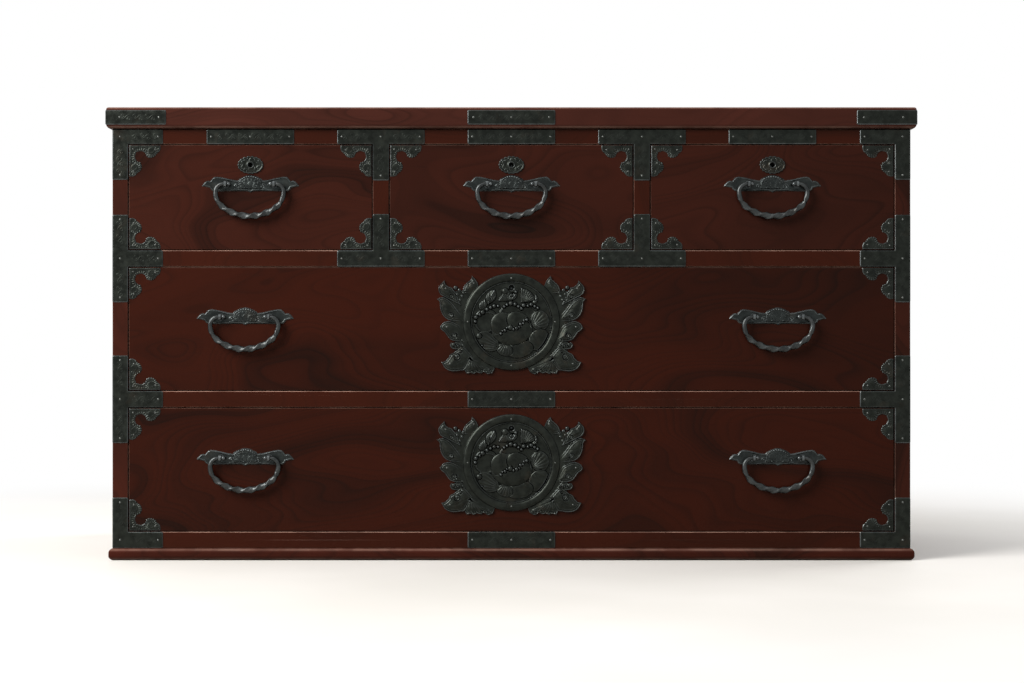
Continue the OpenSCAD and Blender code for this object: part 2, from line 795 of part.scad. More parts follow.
module bail(i, n) {
    color(IRON) in_bay(i) translate([handles_x(i)[n], pivot_y, pivot_z(i)]) rotate([90, 0, 0]) bail_shape();
}

// Leaf shape with two pointed ends, centred, along X
module leaf_shape(l, w) {
    r = (l * l + w * w) / (4 * w);
    intersection() {
        translate([0, w / 2 - r]) circle(r);
        translate([0, r - w / 2]) circle(r);
    }
}

// A low dome of radius r and height h
module dome(r, h) {
    cap_r = (r * r + h * h) / (2 * h);
    rotate_extrude() intersection() {
        translate([0, h - cap_r]) circle(cap_r);
        square([r, h]);
    }
}

// Large lock plate about the middle of its disc: rimmed disc, peony relief and two leafy wings
module wide_lock_plate() {
    rim_mid = disc_r - rim_w / 2;
    rim_cap = (pow(rim_w / 2, 2) + rim_h * rim_h) / (2 * rim_h);
    rotate_extrude() {
        square([rim_mid, disc_t]);
        intersection() {
            translate([rim_mid, rim_h - rim_cap]) circle(rim_cap);
            translate([disc_r - rim_w, 0]) square([rim_w, rim_h]);
        }
    }
    for (m = [0, 1]) mirror([m, 0, 0]) for (p = LEAVES)
        translate([p[0], p[1], 0]) rotate(p[2]) linear_extrude(leaf_t) leaf_shape(p[3], p[4]);
    for (a = [200 : 40 : 520]) if (a < 420 || a > 480)
        translate([33 * cos(a), 33 * sin(a) - 2, disc_t - 0.5]) dome(15, 2.5);
    translate([0, -6, disc_t - 0.5]) dome(25, 5.5);
}

// Small lock plate about its keyhole: an oval with a scalloped rim and a raised ring
module small_lock_plate() {
    rim = 2;
    linear_extrude(plate_t) {
        polygon([for (a = [0 : 15 : 345]) [(oval_w / 2 - rim) * cos(a), (oval_h / 2 - rim) * sin(a)]]);
        for (a = [0 : 20 : 340])
            translate([(oval_w / 2 - rim) * cos(a), (oval_h / 2 - rim) * sin(a)]) circle(rim);
    }
    cylinder(r = small_keyhole_r + 2, h = plate_t + 1.2);
}

module lock_plate(i) {
    drop = is_wide(i) ? lock_plate_drop : 0;
    color(IRON) on_face(i) translate([0, key_z(i)]) difference() {
        if (is_wide(i)) translate([0, -drop]) wide_lock_plate();
        else small_lock_plate();
        translate([0, 0, -1]) cylinder(r = is_wide(i) ? keyhole_r : small_keyhole_r, h = 20);
        if (is_wide(i)) translate([0, -drop]) {
            for (p = RIM_NAILS) translate(p) nail_hole(rim_h);
            for (s = SIDES, p = LEAF_NAILS) translate([s * p[0], p[1]]) nail_hole(leaf_t);
        }
    }
    if (is_wide(i)) color(BRIGHT) on_face(i) translate([0, key_z(i) - drop]) {
        for (p = RIM_NAILS) translate(p) nail(rim_h);
        for (s = SIDES, p = LEAF_NAILS) translate([s * p[0], p[1]]) nail(leaf_t);
    }
}

// Places a lock's frame: its origin is the keyhole's middle on the back of drawer i's front
module in_lock(i) {
    translate([0, inside_y, key_z(i)]) children();
}

// Four nails through the lock case's strips, or their holes, in drawer i's frame
module lock_nails(i, hole) {
    x = case_w / 2 + case_flange / 2;
    in_lock(i) for (s = SIDES, z = [-case_low + 6, case_high - 6])
        translate([s * x, 0, z]) rotate([-90, 0, 0]) {
            if (hole) nail_hole(case_t);
            else nail(case_t);
        }
}

// Lock case on the back of a drawer front: two strips, a cover with its key pin, a leaf spring and nails
module lock_case(i) {
    half = case_w / 2;
    inner_y = case_d - case_t;
    strip_lap = 8;
    spring_w = 8;
    in_bay(i) {
        color(IRON) difference() {
            in_lock(i) for (s = SIDES) {
                x = [s * (half - strip_lap), s * (half + case_flange)];
                block(min(x), max(x), 0, case_t, -case_low, case_high);
            }
            lock_nails(i, true);
        }
        color(IRON) in_lock(i) {
            difference() {
                block(-half, half, case_t + glue_gap, case_d, -case_low, case_high);
                block(-half + case_t, half - case_t, 0, inner_y, -case_low + case_t, case_high - case_t);
                block(-bolt_head_w / 2 - fit_gap, bolt_head_w / 2 + fit_gap,
                    bolt_y - fit_gap, bolt_y + bolt_t + fit_gap, 0, case_high + 1);
            }
            translate([0, case_t + glue_gap, 0]) rotate([-90, 0, 0])
                cylinder(r = key_pin_r, h = inner_y - case_t + glue_gap);
            translate([-spring_w / 2, 0, 0]) rotate([90, 0, 90]) linear_extrude(spring_w) polygon([
                [inner_y - glue_gap, -16], [inner_y - glue_gap - 0.6, -16],
                [bolt_y + bolt_t + glue_gap, -12], [bolt_y + bolt_t + glue_gap + 0.6, -11.6],
                [inner_y - glue_gap, -15.2],
            ]);
        }
        color(BRIGHT) lock_nails(i, false);
    }
}

// Bolt that rises into the rail above: a frame round the key pin with a head on top
module lock_bolt(i) {
    half = case_w / 2 - case_t - fit_gap;
    color(BRIGHT) in_bay(i) in_lock(i) difference() {
        union() {
            block(-half, half, bolt_y, bolt_y + bolt_t, -bolt_low, bolt_high);
            block(-bolt_head_w / 2, bolt_head_w / 2, bolt_y, bolt_y + bolt_t, 0, bolt_rest);
        }
        block(-bolt_window_w / 2, bolt_window_w / 2, bolt_y - 1, bolt_y + bolt_t + 1,
            -bolt_travel - key_pin_r - 1, 7);
    }
}

top_board();
side_panel(-1);  // side_panel_left
side_panel(1);  // side_panel_right
back_boards();
base_board();
front_rails();
partitions();
dust_boards();
drawer_runners();
drawer_stops();
top_board_plates();
frame_plates();
frame_nails();
for (i = [0 : 4]) {
    drawer_front(i);
    drawer_box(i);
    corner_plates(i);
    handle_plate(i);
    handle_posts(i);
    lock_plate(i);
    lock_case(i);
    lock_bolt(i);
}
for (i = [0 : FIRST_WIDE - 1]) {
    bail(i, 0);
}
for (i = [FIRST_WIDE : 4], n = [0, 1]) {
    bail(i, n);
}
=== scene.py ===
"""Looks of a low lacquered chest of drawers with forged iron mounts, built round its CAD frame."""

import json
from math import atan2, ceil, cos, degrees, pi, radians, sin

import bpy
import numpy as np
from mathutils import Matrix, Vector
from mathutils.geometry import delaunay_2d_cdt

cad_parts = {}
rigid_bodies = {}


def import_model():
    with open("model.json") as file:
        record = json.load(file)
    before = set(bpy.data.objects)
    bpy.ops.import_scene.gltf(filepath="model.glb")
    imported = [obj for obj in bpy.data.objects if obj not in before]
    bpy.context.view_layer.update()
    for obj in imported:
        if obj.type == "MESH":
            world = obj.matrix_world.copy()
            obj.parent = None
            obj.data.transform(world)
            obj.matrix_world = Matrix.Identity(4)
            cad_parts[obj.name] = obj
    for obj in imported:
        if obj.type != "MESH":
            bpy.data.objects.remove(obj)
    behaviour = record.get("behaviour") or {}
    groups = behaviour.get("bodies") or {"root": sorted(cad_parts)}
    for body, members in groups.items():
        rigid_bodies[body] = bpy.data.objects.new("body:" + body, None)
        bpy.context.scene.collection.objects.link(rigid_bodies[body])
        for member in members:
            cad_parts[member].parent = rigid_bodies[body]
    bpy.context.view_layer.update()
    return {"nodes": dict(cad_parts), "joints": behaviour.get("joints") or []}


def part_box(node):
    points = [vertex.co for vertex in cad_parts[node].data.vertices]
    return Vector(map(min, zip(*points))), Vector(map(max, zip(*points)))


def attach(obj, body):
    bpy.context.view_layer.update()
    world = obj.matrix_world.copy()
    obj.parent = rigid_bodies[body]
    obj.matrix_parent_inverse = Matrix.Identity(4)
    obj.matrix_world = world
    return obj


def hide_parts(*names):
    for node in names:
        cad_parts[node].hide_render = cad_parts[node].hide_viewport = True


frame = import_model()

MM = 0.001
SMALL = ("left", "centre", "right")
WIDE = ("upper_wide", "lower_wide")
SIDES = (-1, 1)

# Sizes of the ironwork, in millimetres
PLATE_T = 1.2
REVEAL = 1.0
ARRIS = 0.8
PLATE_ARM = 75.0
STRAP_L = 130.0
TEE_LEG = 54.0
WRAP_FRONT = 88.5
WRAP_SIDE = 60.0
BEND = 1.5
ORNAMENT_LEG = 46.5
NAIL_R = 1.3
NAIL_H = 0.8
KEYHOLE_DROP = 30.0
DISC_DROP = 81.0
DISC_R = 72.0

# Limits of the mesh code
TINY = 1e-6
SLIVER = 1e-9
SHARP_DEG = 40.0


# ---- places, from the frame, in millimetres


def box_mm(node):
    """Lowest and highest corner of a CAD node."""
    low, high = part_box(node)
    return np.array(low) / MM, np.array(high) / MM


def front_of(drawer):
    return box_mm(f"{drawer}_drawer_front")


BODY_LOW, BODY_HIGH = box_mm("side_panel_right")
HALF_W = BODY_HIGH[0]
SIDE_T = BODY_HIGH[0] - BODY_LOW[0]
FRONT_Y = BODY_LOW[1]
FACE_Y = front_of("left")[0][1]
POST_IN = front_of("centre")[1][0] + REVEAL
POST_OUT = front_of("right")[0][0] - REVEAL
PITCH = front_of("right")[0][0] / 2 + front_of("right")[1][0] / 2


def rails():
    """Lower and upper edge of each front rail, from the floor up."""
    edges = [BODY_LOW[2]]
    for drawer in ("lower_wide", "upper_wide", "centre"):
        low, high = front_of(drawer)
        edges += [low[2] - REVEAL, high[2] + REVEAL]
    edges.append(BODY_HIGH[2])
    return list(zip(edges[::2], edges[1::2]))


RAILS = rails()


# ---- flat shapes, as millimetres inside an edge


def circle(x, z, cx, cz, r):
    return r - np.hypot(x - cx, z - cz)


def ellipse(x, z, cx, cz, rx, rz, turn=0.0):
    """About the distance inside an ellipse, turned by some degrees."""
    a = radians(turn)
    u = (x - cx) * cos(a) + (z - cz) * sin(a)
    v = (z - cz) * cos(a) - (x - cx) * sin(a)
    k = np.hypot(u / rx, v / rz)
    slope = np.hypot(u / rx**2, v / rz**2)
    return (1 - k) * np.maximum(k, TINY) / np.maximum(slope, TINY)


def rectangle(x, z, x0, x1, z0, z1, r=0.0):
    """Distance inside a rectangle whose corners have the radius r."""
    dx = np.abs(x - (x0 + x1) / 2) - (x1 - x0) / 2 + r
    dz = np.abs(z - (z0 + z1) / 2) - (z1 - z0) / 2 + r
    outside = np.hypot(np.maximum(dx, 0), np.maximum(dz, 0))
    return r - outside - np.minimum(np.maximum(dx, dz), 0)


def distance_to_line(x, z, points):
    """Distance from each place to a line through the points."""
    best = np.full(x.shape, np.inf)
    for (ax, az), (bx, bz) in zip(points[:-1], points[1:]):
        ex, ez = bx - ax, bz - az
        t = ((x - ax) * ex + (z - az) * ez) / max(ex * ex + ez * ez, SLIVER)
        t = np.clip(t, 0, 1)
        best = np.minimum(best, (x - ax - t * ex) ** 2 + (z - az - t * ez) ** 2)
    return np.sqrt(best)


def outline(x, z, points, reach=4.0, beyond=-9.0):
    """Distance inside a closed outline, negative outside, and plainly beyond for places out of its reach."""
    p = np.asarray(points, float)
    low, high = p.min(0) - reach, p.max(0) + reach
    gap = np.full(x.shape, beyond)
    near = (x > low[0]) & (x < high[0]) & (z > low[1]) & (z < high[1])
    x, z = x[near], z[near]
    odd = np.zeros(x.shape, bool)
    loop = np.vstack([p, p[:1]])
    for (ax, az), (bx, bz) in zip(loop[:-1], loop[1:]):
        if az != bz:
            crosses = (az > z) != (bz > z)
            odd ^= crosses & (x < ax + (z - az) * (bx - ax) / (bz - az))
    gap[near] = np.where(odd, 1, -1) * distance_to_line(x, z, loop)
    return gap


def smooth(points, steps=6):
    """A smooth open line through the points, which bend evenly into one another."""
    p = np.asarray(points, float)
    p = np.vstack([2 * p[0] - p[1], p, 2 * p[-1] - p[-2]])
    made = [p[1]]
    for a, b, c, d in zip(p[:-3], p[1:-2], p[2:-1], p[3:]):
        square, cube = 2 * a - 5 * b + 4 * c - d, 3 * b - a - 3 * c + d
        for t in np.linspace(0, 1, steps + 1)[1:]:
            made.append(0.5 * (2 * b + (c - a) * t + square * t**2 + cube * t**3))
    return np.array(made)


def run_on(lines):
    """The lines, each after the first made to start where the one before it ends."""
    made = [list(lines[0])]
    for line in lines[1:]:
        made.append([made[-1][-1], *line])
    return made


def loop_of(*lines):
    """A closed outline of smooth lines that run on from one another, with a corner where they meet."""
    made = run_on(lines)
    made[-1].append(lines[0][0])
    return np.vstack([smooth(line)[:-1] for line in made])


def arc(cx, cz, rx, rz, angles):
    """Points of an ellipse at angles in radians."""
    return [(cx + rx * cos(a), cz + rz * sin(a)) for a in angles]


def spiral(cx, cz, r, turns=1.4, start=0.0, way=1, steps=26):
    """A curl that winds in to its middle."""
    t = np.linspace(0, 1, steps)
    a = radians(start) + way * 2 * pi * turns * t
    now = r * (1 - 0.85 * t)
    return np.stack([cx + now * np.cos(a), cz + now * np.sin(a)], 1)


# ---- heights of a relief, in millimetres


def bulge(t):
    """A quarter round: 0 at an edge, 1 at the distance where t is 1."""
    t = np.clip(t, 0, 1)
    return np.sqrt(1 - (1 - t) ** 2)


def step(t):
    """A soft step from 0 to 1."""
    t = np.clip(t, 0, 1)
    return t * t * (3 - 2 * t)


def hump(t):
    """1 where t is 0, fading evenly on both sides."""
    return np.exp(-(t**2))


def rays(x, z, cx, cz, count):
    """Waves from 0 to 1 that spread from a point."""
    return 0.5 + 0.5 * np.cos(np.arctan2(z - cz, x - cx) * count)


def lay(h, gap, low, high, edge):
    """Lays a rounded form over the relief: it starts at low at its edge and reaches high that far in."""
    return np.where(gap > 0, low + (high - low) * bulge(gap / edge), h)


def bead(x, z, h, cx, cz, r, low, high):
    return lay(h, circle(x, z, cx, cz, r), low, high, r)


def ridge(x, z, h, line, width, height):
    """Raises, or for a negative height cuts, a rounded line."""
    return h + height * hump(distance_to_line(x, z, line) / width)


def chamfer(gap, low, high, width):
    """Height of a sheet whose edge slopes up to its face."""
    return low + (high - low) * np.clip(gap / width, 0, 1)


def thin_sheet(gap):
    """Height of a thin plate."""
    return chamfer(gap, 0.3, PLATE_T, 0.9)


# ---- meshes


class Mesh:
    """Gathers vertices, in millimetres, and faces for one object."""

    def __init__(self):
        self.points, self.faces, self.count = [], [], 0

    def add(self, points, faces):
        self.points.append(np.asarray(points, float))
        self.faces += [[self.count + int(i) for i in f] for f in faces]
        self.count += len(points)

    def object(self, name, material):
        mesh = bpy.data.meshes.new(name)
        mesh.from_pydata((np.vstack(self.points) * MM).tolist(), [], self.faces)
        mesh.validate()
        mesh.polygons.foreach_set("use_smooth", [True] * len(mesh.polygons))
        mesh.set_sharp_from_angle(angle=radians(SHARP_DEG))
        mesh.materials.append(material)
        return in_scene(name, mesh)


def in_scene(name, data):
    """A new object of this name in the scene."""
    made = bpy.data.objects.new(name, data)
    bpy.context.scene.collection.objects.link(made)
    return made


def finish_piece(mesh, name, material, body, slot, *nodes):
    """Makes the object, and lets it ride on a body in place of CAD nodes."""
    piece = mesh.object(name, material)
    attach(piece, body)
    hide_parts(*nodes)


def grid(edge_of, span, pitch):
    """Places on a grid, its faces that touch the shape, and the corners of those that lie outside it."""
    x0, x1, z0, z1 = span
    nx, nz = int(ceil((x1 - x0) / pitch)) + 1, int(ceil((z1 - z0) / pitch)) + 1
    x, z = np.meshgrid(np.linspace(x0, x1, nx), np.linspace(z0, z1, nz), indexing="ij")
    x, z = x.ravel(), z.ravel()
    inside = edge_of(x, z) > 0.3 * pitch
    ids = np.arange(nx * nz).reshape(nx, nz)
    quads = np.stack([ids[:-1, :-1], ids[1:, :-1], ids[1:, 1:], ids[:-1, 1:]], -1).reshape(-1, 4)
    quads = quads[inside[quads].any(1)]
    return x, z, quads, np.unique(quads[~inside[quads]])


def pull_to_edge(x, z, rim, edge_of, pitch, e=0.05):
    """Moves the places in rim onto the shape's edge, in four steps along its slope."""
    for _ in range(4):
        a, b = x[rim], z[rim]
        gap = edge_of(a, b)
        gx = (edge_of(a + e, b) - edge_of(a - e, b)) / (2 * e)
        gz = (edge_of(a, b + e) - edge_of(a, b - e)) / (2 * e)
        size = np.maximum(gx * gx + gz * gz, 0.3)
        move = np.clip(gap, -2 * pitch, 2 * pitch) / size
        x[rim], z[rim] = a - move * gx, b - move * gz


def border_of(quads):
    """Sides that belong to one face only, running as they do in it."""
    sides = np.vstack([quads[:, [k, (k + 1) % 4]] for k in range(4)])
    there = {(int(a), int(b)) for a, b in sides}
    return sorted((a, b) for a, b in there if (b, a) not in there)


def plate(edge_of, relief_of, span, pitch):
    """A closed sheet with relief: (x, z, height) of its vertices and its faces, seen from the front.

    edge_of(x, z) is the distance inside the outline and relief_of(x, z, gap) the height above the wood.
    """
    x, z, quads, rim = grid(edge_of, span, pitch)
    pull_to_edge(x, z, rim, edge_of, pitch)
    gap = np.maximum(edge_of(x, z), 0)
    gap[rim] = 0
    used, quads = np.unique(quads, return_inverse=True)
    quads = quads.reshape(-1, 4)
    x, z, gap = x[used], z[used], gap[used]
    h = relief_of(x, z, gap)
    border = border_of(quads)
    backs = sorted({v for pair in border for v in pair})
    back_of = {v: len(x) + n for n, v in enumerate(backs)}
    faces = quads.tolist() + [[b, a, back_of[a], back_of[b]] for a, b in border]
    closing, new = back_faces(x, z, border, backs, edge_of)
    new = np.array(new).reshape(-1, 2)
    x = np.concatenate([x, x[backs], new[:, 0]])
    z = np.concatenate([z, z[backs], new[:, 1]])
    h = np.concatenate([h, np.zeros(len(backs) + len(new))])
    return np.stack([x, z, h], 1), faces + closing


def back_faces(x, z, border, backs, edge_of):
    """Triangles that close the back of a sheet inside its border, and any new points they need."""
    place = {v: n for n, v in enumerate(backs)}
    points = [Vector((x[v], z[v])) for v in backs]
    edges = [(place[a], place[b]) for a, b in border]
    spots, _, triangles, made_from, _, _ = delaunay_2d_cdt(points, edges, [], 0, TINY)
    flat, triangles = np.array([tuple(v) for v in spots]), np.array(triangles)
    middle = flat[triangles].mean(1)
    triangles = triangles[edge_of(middle[:, 0], middle[:, 1]) > 0]
    ids, new = [], []
    for spot, old in zip(flat, made_from):
        if old:
            ids.append(len(x) + old[0])
        else:
            ids.append(len(x) + len(backs) + len(new))
            new.append(spot)
    p, q, r = (flat[triangles[:, k]] for k in range(3))
    area = (q - p)[:, 0] * (r - p)[:, 1] - (q - p)[:, 1] * (r - p)[:, 0]
    faces = []
    for triangle, size in zip(triangles, area):
        if abs(size) > SLIVER:
            face = [ids[k] for k in triangle]
            faces.append(face if size < 0 else face[::-1])
    return faces, new


def turned_over(faces, way):
    """The faces, or for a mirrored part the same faces turned over."""
    return faces if way > 0 else [f[::-1] for f in faces]


def on_front(mesh, part, cx, cz, face_y, sx=1, sz=1):
    """Stands a plate on a face that looks forwards, mirrored where sx or sz is -1."""
    x, z, h = part[0].T
    mesh.add(np.stack([cx + sx * x, face_y - h, cz + sz * z], 1), turned_over(part[1], sx * sz))


def domed_nail(mesh, cx, cz, front_y, rings=4, around=16):
    """A low domed head whose rim lies on a plate's face."""
    points, faces = [(cx, front_y - NAIL_H, cz)], []
    for k in range(1, rings + 1):
        t = k / rings
        out, y = NAIL_R * t, front_y - NAIL_H * (1 - t * t)
        for n in range(around):
            a = 2 * pi * n / around
            points.append((cx + out * cos(a), y, cz + out * sin(a)))
    for n in range(around):
        m = (n + 1) % around
        faces.append([0, 1 + n, 1 + m])
        for k in range(rings - 1):
            a, b = 1 + k * around, 1 + (k + 1) * around
            faces.append([a + n, b + n, b + m, a + m])
    mesh.add(points, faces)


# ---- material nodes


def put(tree, socket, value):
    """Links another node's output to the socket, or sets its value."""
    if isinstance(value, bpy.types.NodeSocket):
        tree.links.new(value, socket)
    else:
        socket.default_value = value


def dress(tree, node, inputs):
    """Puts a value or a link on each named socket."""
    for key, value in inputs.items():
        put(tree, node.inputs[key], value)


def add(tree, kind, inputs=None, **settings):
    made = tree.nodes.new(kind)
    for key, value in settings.items():
        setattr(made, key, value)
    dress(tree, made, inputs or {})
    return made


def maths(tree, operation, a, b=0.0, clamp=False):
    return add(tree, "ShaderNodeMath", {0: a, 1: b}, operation=operation, use_clamp=clamp).outputs[0]


def times(tree, a, b):
    return maths(tree, "MULTIPLY", a, b)


def plus(tree, a, b, clamp=False):
    return maths(tree, "ADD", a, b, clamp)


def noise(tree, vector, scale, detail=2.0, rough=0.5, twist=0.0):
    inputs = {"Vector": vector, "Scale": scale, "Detail": detail, "Roughness": rough, "Distortion": twist}
    return add(tree, "ShaderNodeTexNoise", inputs).outputs["Fac"]


def between(tree, value, low, high, to_low=0.0, to_high=1.0):
    """A soft step that leads from to_low, where the value is low, to to_high."""
    inputs = {"Value": value, "From Min": low, "From Max": high, "To Min": to_low, "To Max": to_high}
    return add(tree, "ShaderNodeMapRange", inputs, interpolation_type="SMOOTHSTEP").outputs[0]


def mix(tree, share, a, b):
    return add(tree, "ShaderNodeMix", {0: share, 6: a, 7: b}, data_type="RGBA").outputs[2]


def placed(tree, scale, move=(0, 0, 0)):
    """Places on the piece in its own frame, stretched and moved."""
    at = add(tree, "ShaderNodeTexCoord").outputs["Object"]
    return add(tree, "ShaderNodeMapping", {"Vector": at, "Location": move, "Scale": scale}).outputs[0]


def facing(tree, axes=(0, 1, 2)):
    """How much the surface looks along the piece's own axes, 0 to 1 each."""
    looks = add(tree, "ShaderNodeTexCoord").outputs["Normal"]
    parts = add(tree, "ShaderNodeSeparateXYZ", {0: looks}).outputs
    return [maths(tree, "ABSOLUTE", parts[k]) for k in axes]


def bump(tree, height, strength, distance):
    inputs = {"Height": height, "Strength": strength, "Distance": distance}
    return add(tree, "ShaderNodeBump", inputs).outputs[0]


def colour(*screen):
    """A colour as it is read off a screen, 0 to 255, made linear."""
    parts = [v / 255 for v in screen]
    return (*(v / 12.92 if v <= 0.04045 else ((v + 0.055) / 1.055) ** 2.4 for v in parts), 1.0)


def new_material(name):
    made = bpy.data.materials.new(name)
    made.use_nodes = True
    return made, made.node_tree, made.node_tree.nodes["Principled BSDF"]


# ---- wood

# Texture scales for grain that runs along x, y or z
GRAIN_X = (1.0, 2.7, 2.7)
GRAIN_Y = (2.7, 1.0, 2.7)
GRAIN_Z = (2.7, 2.7, 1.0)
BACK_BOARD_W = 0.2278


def stretched(grain, along, across):
    """Scales of a texture along the grain and across it."""
    return tuple(along if g == 1.0 else across for g in grain)


def varied(tree, along, seed):
    """Even changes along one number."""
    inputs = {"W": plus(tree, along, seed), "Scale": 1.0, "Detail": 1.0}
    return add(tree, "ShaderNodeTexNoise", inputs, noise_dimensions="1D").outputs["Fac"]


def growth(tree, at, seed, rings=58.0):
    """Growth rings round swirls: thin lines that are dark on one side, and broader dark bands."""
    field = noise(tree, at, 1.9, 2.0, 0.5, 0.3)
    count = times(tree, field, rings)
    turn = maths(tree, "FRACT", count)
    line = times(tree, maths(tree, "POWER", turn, 3.0), between(tree, turn, 1.0, 0.82))
    strength = varied(tree, times(tree, count, 0.4), seed)
    line = times(tree, line, between(tree, strength, 0.32, 0.66, 0.2, 1.5))
    band = between(tree, varied(tree, times(tree, field, 9.0), seed + 31.7), 0.45, 0.74)
    return line, band


def arris(tree):
    """1 on the small flats and roundings between a piece's faces, by the way its surface looks."""
    x, y, z = facing(tree)
    most = maths(tree, "MAXIMUM", maths(tree, "MAXIMUM", x, y), z)
    return between(tree, most, 0.97, 0.8)


def lacquered_wood(name, grain, seed, light, dark=(19, 10, 8), figure=1.0, wear_and_highlight=0.25):
    """Maroon lacquer over figured wood, with smoky patches and pores, and a pale tint on the arrises that is
    partly thin paint and partly a painted highlight.
    """
    made, tree, shader = new_material(name)
    at = placed(tree, grain, (seed * 3.7, seed * 1.9, seed * 2.3))
    line, band = growth(tree, at, seed)
    smoke = between(tree, noise(tree, at, 1.3, 3.0, 0.55, 0.8), 0.4, 0.66)
    pores = between(tree, noise(tree, placed(tree, stretched(grain, 12.0, 260.0)), 1.0, 3.0, 0.6), 0.56, 0.72)
    share = times(tree, line, 0.4 * figure)
    for part, weight in ((band, 0.5), (smoke, 0.42)):
        share = plus(tree, share, times(tree, part, weight * figure))
    share = plus(tree, share, times(tree, pores, 0.14), clamp=True)
    paint = mix(tree, share, colour(*light), colour(*dark))
    rub = noise(tree, placed(tree, (6.0, 6.0, 6.0)), 3.0, 4.0, 0.6)
    # Pale tint on the arrises: paint gone thin at the edges, and a painted highlight of the light they catch
    worn_and_highlit = times(tree, arris(tree), between(tree, rub, 0.35, 0.6, 0.4 * wear_and_highlight, wear_and_highlight))
    hollow = plus(tree, times(tree, pores, -0.6), times(tree, line, -0.4))
    dress(tree, shader, {
        # The arris colour: thin paint and painted highlight
        "Base Color": mix(tree, worn_and_highlit, paint, colour(158, 124, 110)),
        "Roughness": plus(tree, between(tree, rub, 0.3, 0.75, 0.24, 0.34), times(tree, pores, 0.08)),
        "Specular IOR Level": 0.1,
        "Specular Tint": (1.0, 0.5, 0.36, 1.0),
        "Coat Weight": 0.02,
        "Coat Roughness": 0.15,
        "Normal": bump(tree, hollow, 0.2, 0.0002),
    })
    return made


def bare_wood(name, grain, seed, board=0.0):
    """Planed pale wood with straight grain. board is the width of boards that differ, in metres."""
    made, tree, shader = new_material(name)
    at = placed(tree, stretched(grain, 0.45, 7.0), (seed * 2.1, seed, seed * 1.3))
    if grain == GRAIN_X:
        # a drawer's sides look sideways, and their grain runs from front to back
        sideways = maths(tree, "GREATER_THAN", facing(tree, (0,))[0], 0.5)
        turned = placed(tree, stretched(GRAIN_Y, 0.45, 7.0), (seed, seed * 2.1, seed * 1.3))
        at = mix(tree, sideways, at, turned)
    if board:
        across = add(tree, "ShaderNodeSeparateXYZ", {0: placed(tree, (1, 1, 1))}).outputs[0]
        cell = maths(tree, "FLOOR", plus(tree, maths(tree, "DIVIDE", across, board), 0.5))
        inputs = {0: at, 1: times(tree, cell, 5.7)}
        at = add(tree, "ShaderNodeVectorMath", inputs, operation="ADD").outputs[0]
    lines = maths(tree, "SINE", times(tree, noise(tree, at, 1.4, 1.0, 0.4), 110.0))
    pores = noise(tree, placed(tree, stretched(grain, 8.0, 320.0)), 1.0, 2.0, 0.6)
    rings = between(tree, lines, 0.1, 1.0, 0.0, 0.5)
    share = plus(tree, rings, between(tree, pores, 0.45, 0.75, 0.0, 0.5), clamp=True)
    paint = mix(tree, share, colour(214, 188, 148), colour(172, 136, 92))
    if board:
        tone = add(tree, "ShaderNodeTexWhiteNoise", {"W": cell}, noise_dimensions="1D").outputs["Value"]
        paint = mix(tree, times(tree, tone, 0.45), paint, colour(150, 112, 72))
    dirt = between(tree, noise(tree, placed(tree, (5, 5, 5)), 1.0, 4.0, 0.65), 0.45, 0.8, 0.0, 0.35)
    dress(tree, shader, {
        "Base Color": mix(tree, dirt, paint, colour(120, 92, 64)),
        "Roughness": between(tree, pores, 0.3, 0.8, 0.55, 0.75),
        "Specular IOR Level": 0.3,
        "Normal": bump(tree, plus(tree, pores, times(tree, lines, 0.2)), 0.35, 0.0004),
    })
    return made


# ---- metal


def black_iron(name, worn_and_highlit=0.55, tone=(40, 43, 39)):
    """Blackened iron: mottled patina, grime and painted shade in the hollows, and paler metal on edges and
    relief that is partly bare from use and partly a painted highlight.
    """
    made, tree, shader = new_material(name)
    at = placed(tree, (1, 1, 1))
    mottle = noise(tree, at, 90.0, 5.0, 0.62)
    fine = noise(tree, at, 900.0, 3.0, 0.6)
    dull = tuple(0.72 * v for v in tone)
    paint = mix(tree, between(tree, mottle, 0.3, 0.72), colour(*dull), colour(*tone))
    brown = between(tree, noise(tree, at, 35.0, 3.0, 0.6), 0.55, 0.75, 0.0, 0.35)
    paint = mix(tree, brown, paint, colour(54, 47, 39))
    relief = add(tree, "ShaderNodeNewGeometry").outputs["Pointiness"]
    # Grime and painted shade: hollows found by pointiness are darkened towards near black
    paint = mix(tree, between(tree, relief, 0.48, 0.38, 0.0, 0.4), paint, colour(18, 18, 17))
    # Paler metal on edges and crests found by pointiness: metal bared by use, and a painted highlight where
    # they catch the light
    rubbed_and_highlit = between(tree, relief, 0.505, 0.57, 0.0, worn_and_highlit)
    rubbed_and_highlit = times(tree, rubbed_and_highlit, between(tree, mottle, 0.3, 0.6, 0.5, 1.0))
    rough = between(tree, mottle, 0.3, 0.7, 0.25, 0.4)
    dress(tree, shader, {
        # Pale bare metal and painted highlight on the edges
        "Base Color": mix(tree, rubbed_and_highlit, paint, colour(96, 101, 102)),
        "Metallic": 0.85,
        "Specular IOR Level": 0.1,
        "Roughness": maths(tree, "SUBTRACT", rough, times(tree, rubbed_and_highlit, 0.1)),
        "Normal": bump(tree, plus(tree, mottle, times(tree, fine, 0.5)), 0.45, 0.0004),
    })
    return made


def bright_steel(name):
    """Rubbed steel, with fine scratches and a little tarnish."""
    made, tree, shader = new_material(name)
    tarnish = between(tree, noise(tree, placed(tree, (1, 1, 1)), 260.0, 4.0, 0.6), 0.4, 0.72, 0.0, 0.7)
    scratches = noise(tree, placed(tree, (1, 1, 14)), 160.0, 3.0, 0.6)
    dress(tree, shader, {
        "Base Color": mix(tree, tarnish, colour(86, 89, 86), colour(52, 52, 50)),
        "Metallic": 0.8,
        "Roughness": between(tree, scratches, 0.3, 0.7, 0.28, 0.45),
        "Normal": bump(tree, scratches, 0.15, 0.0002),
    })
    return made


# ---- plain plates with engraved vines

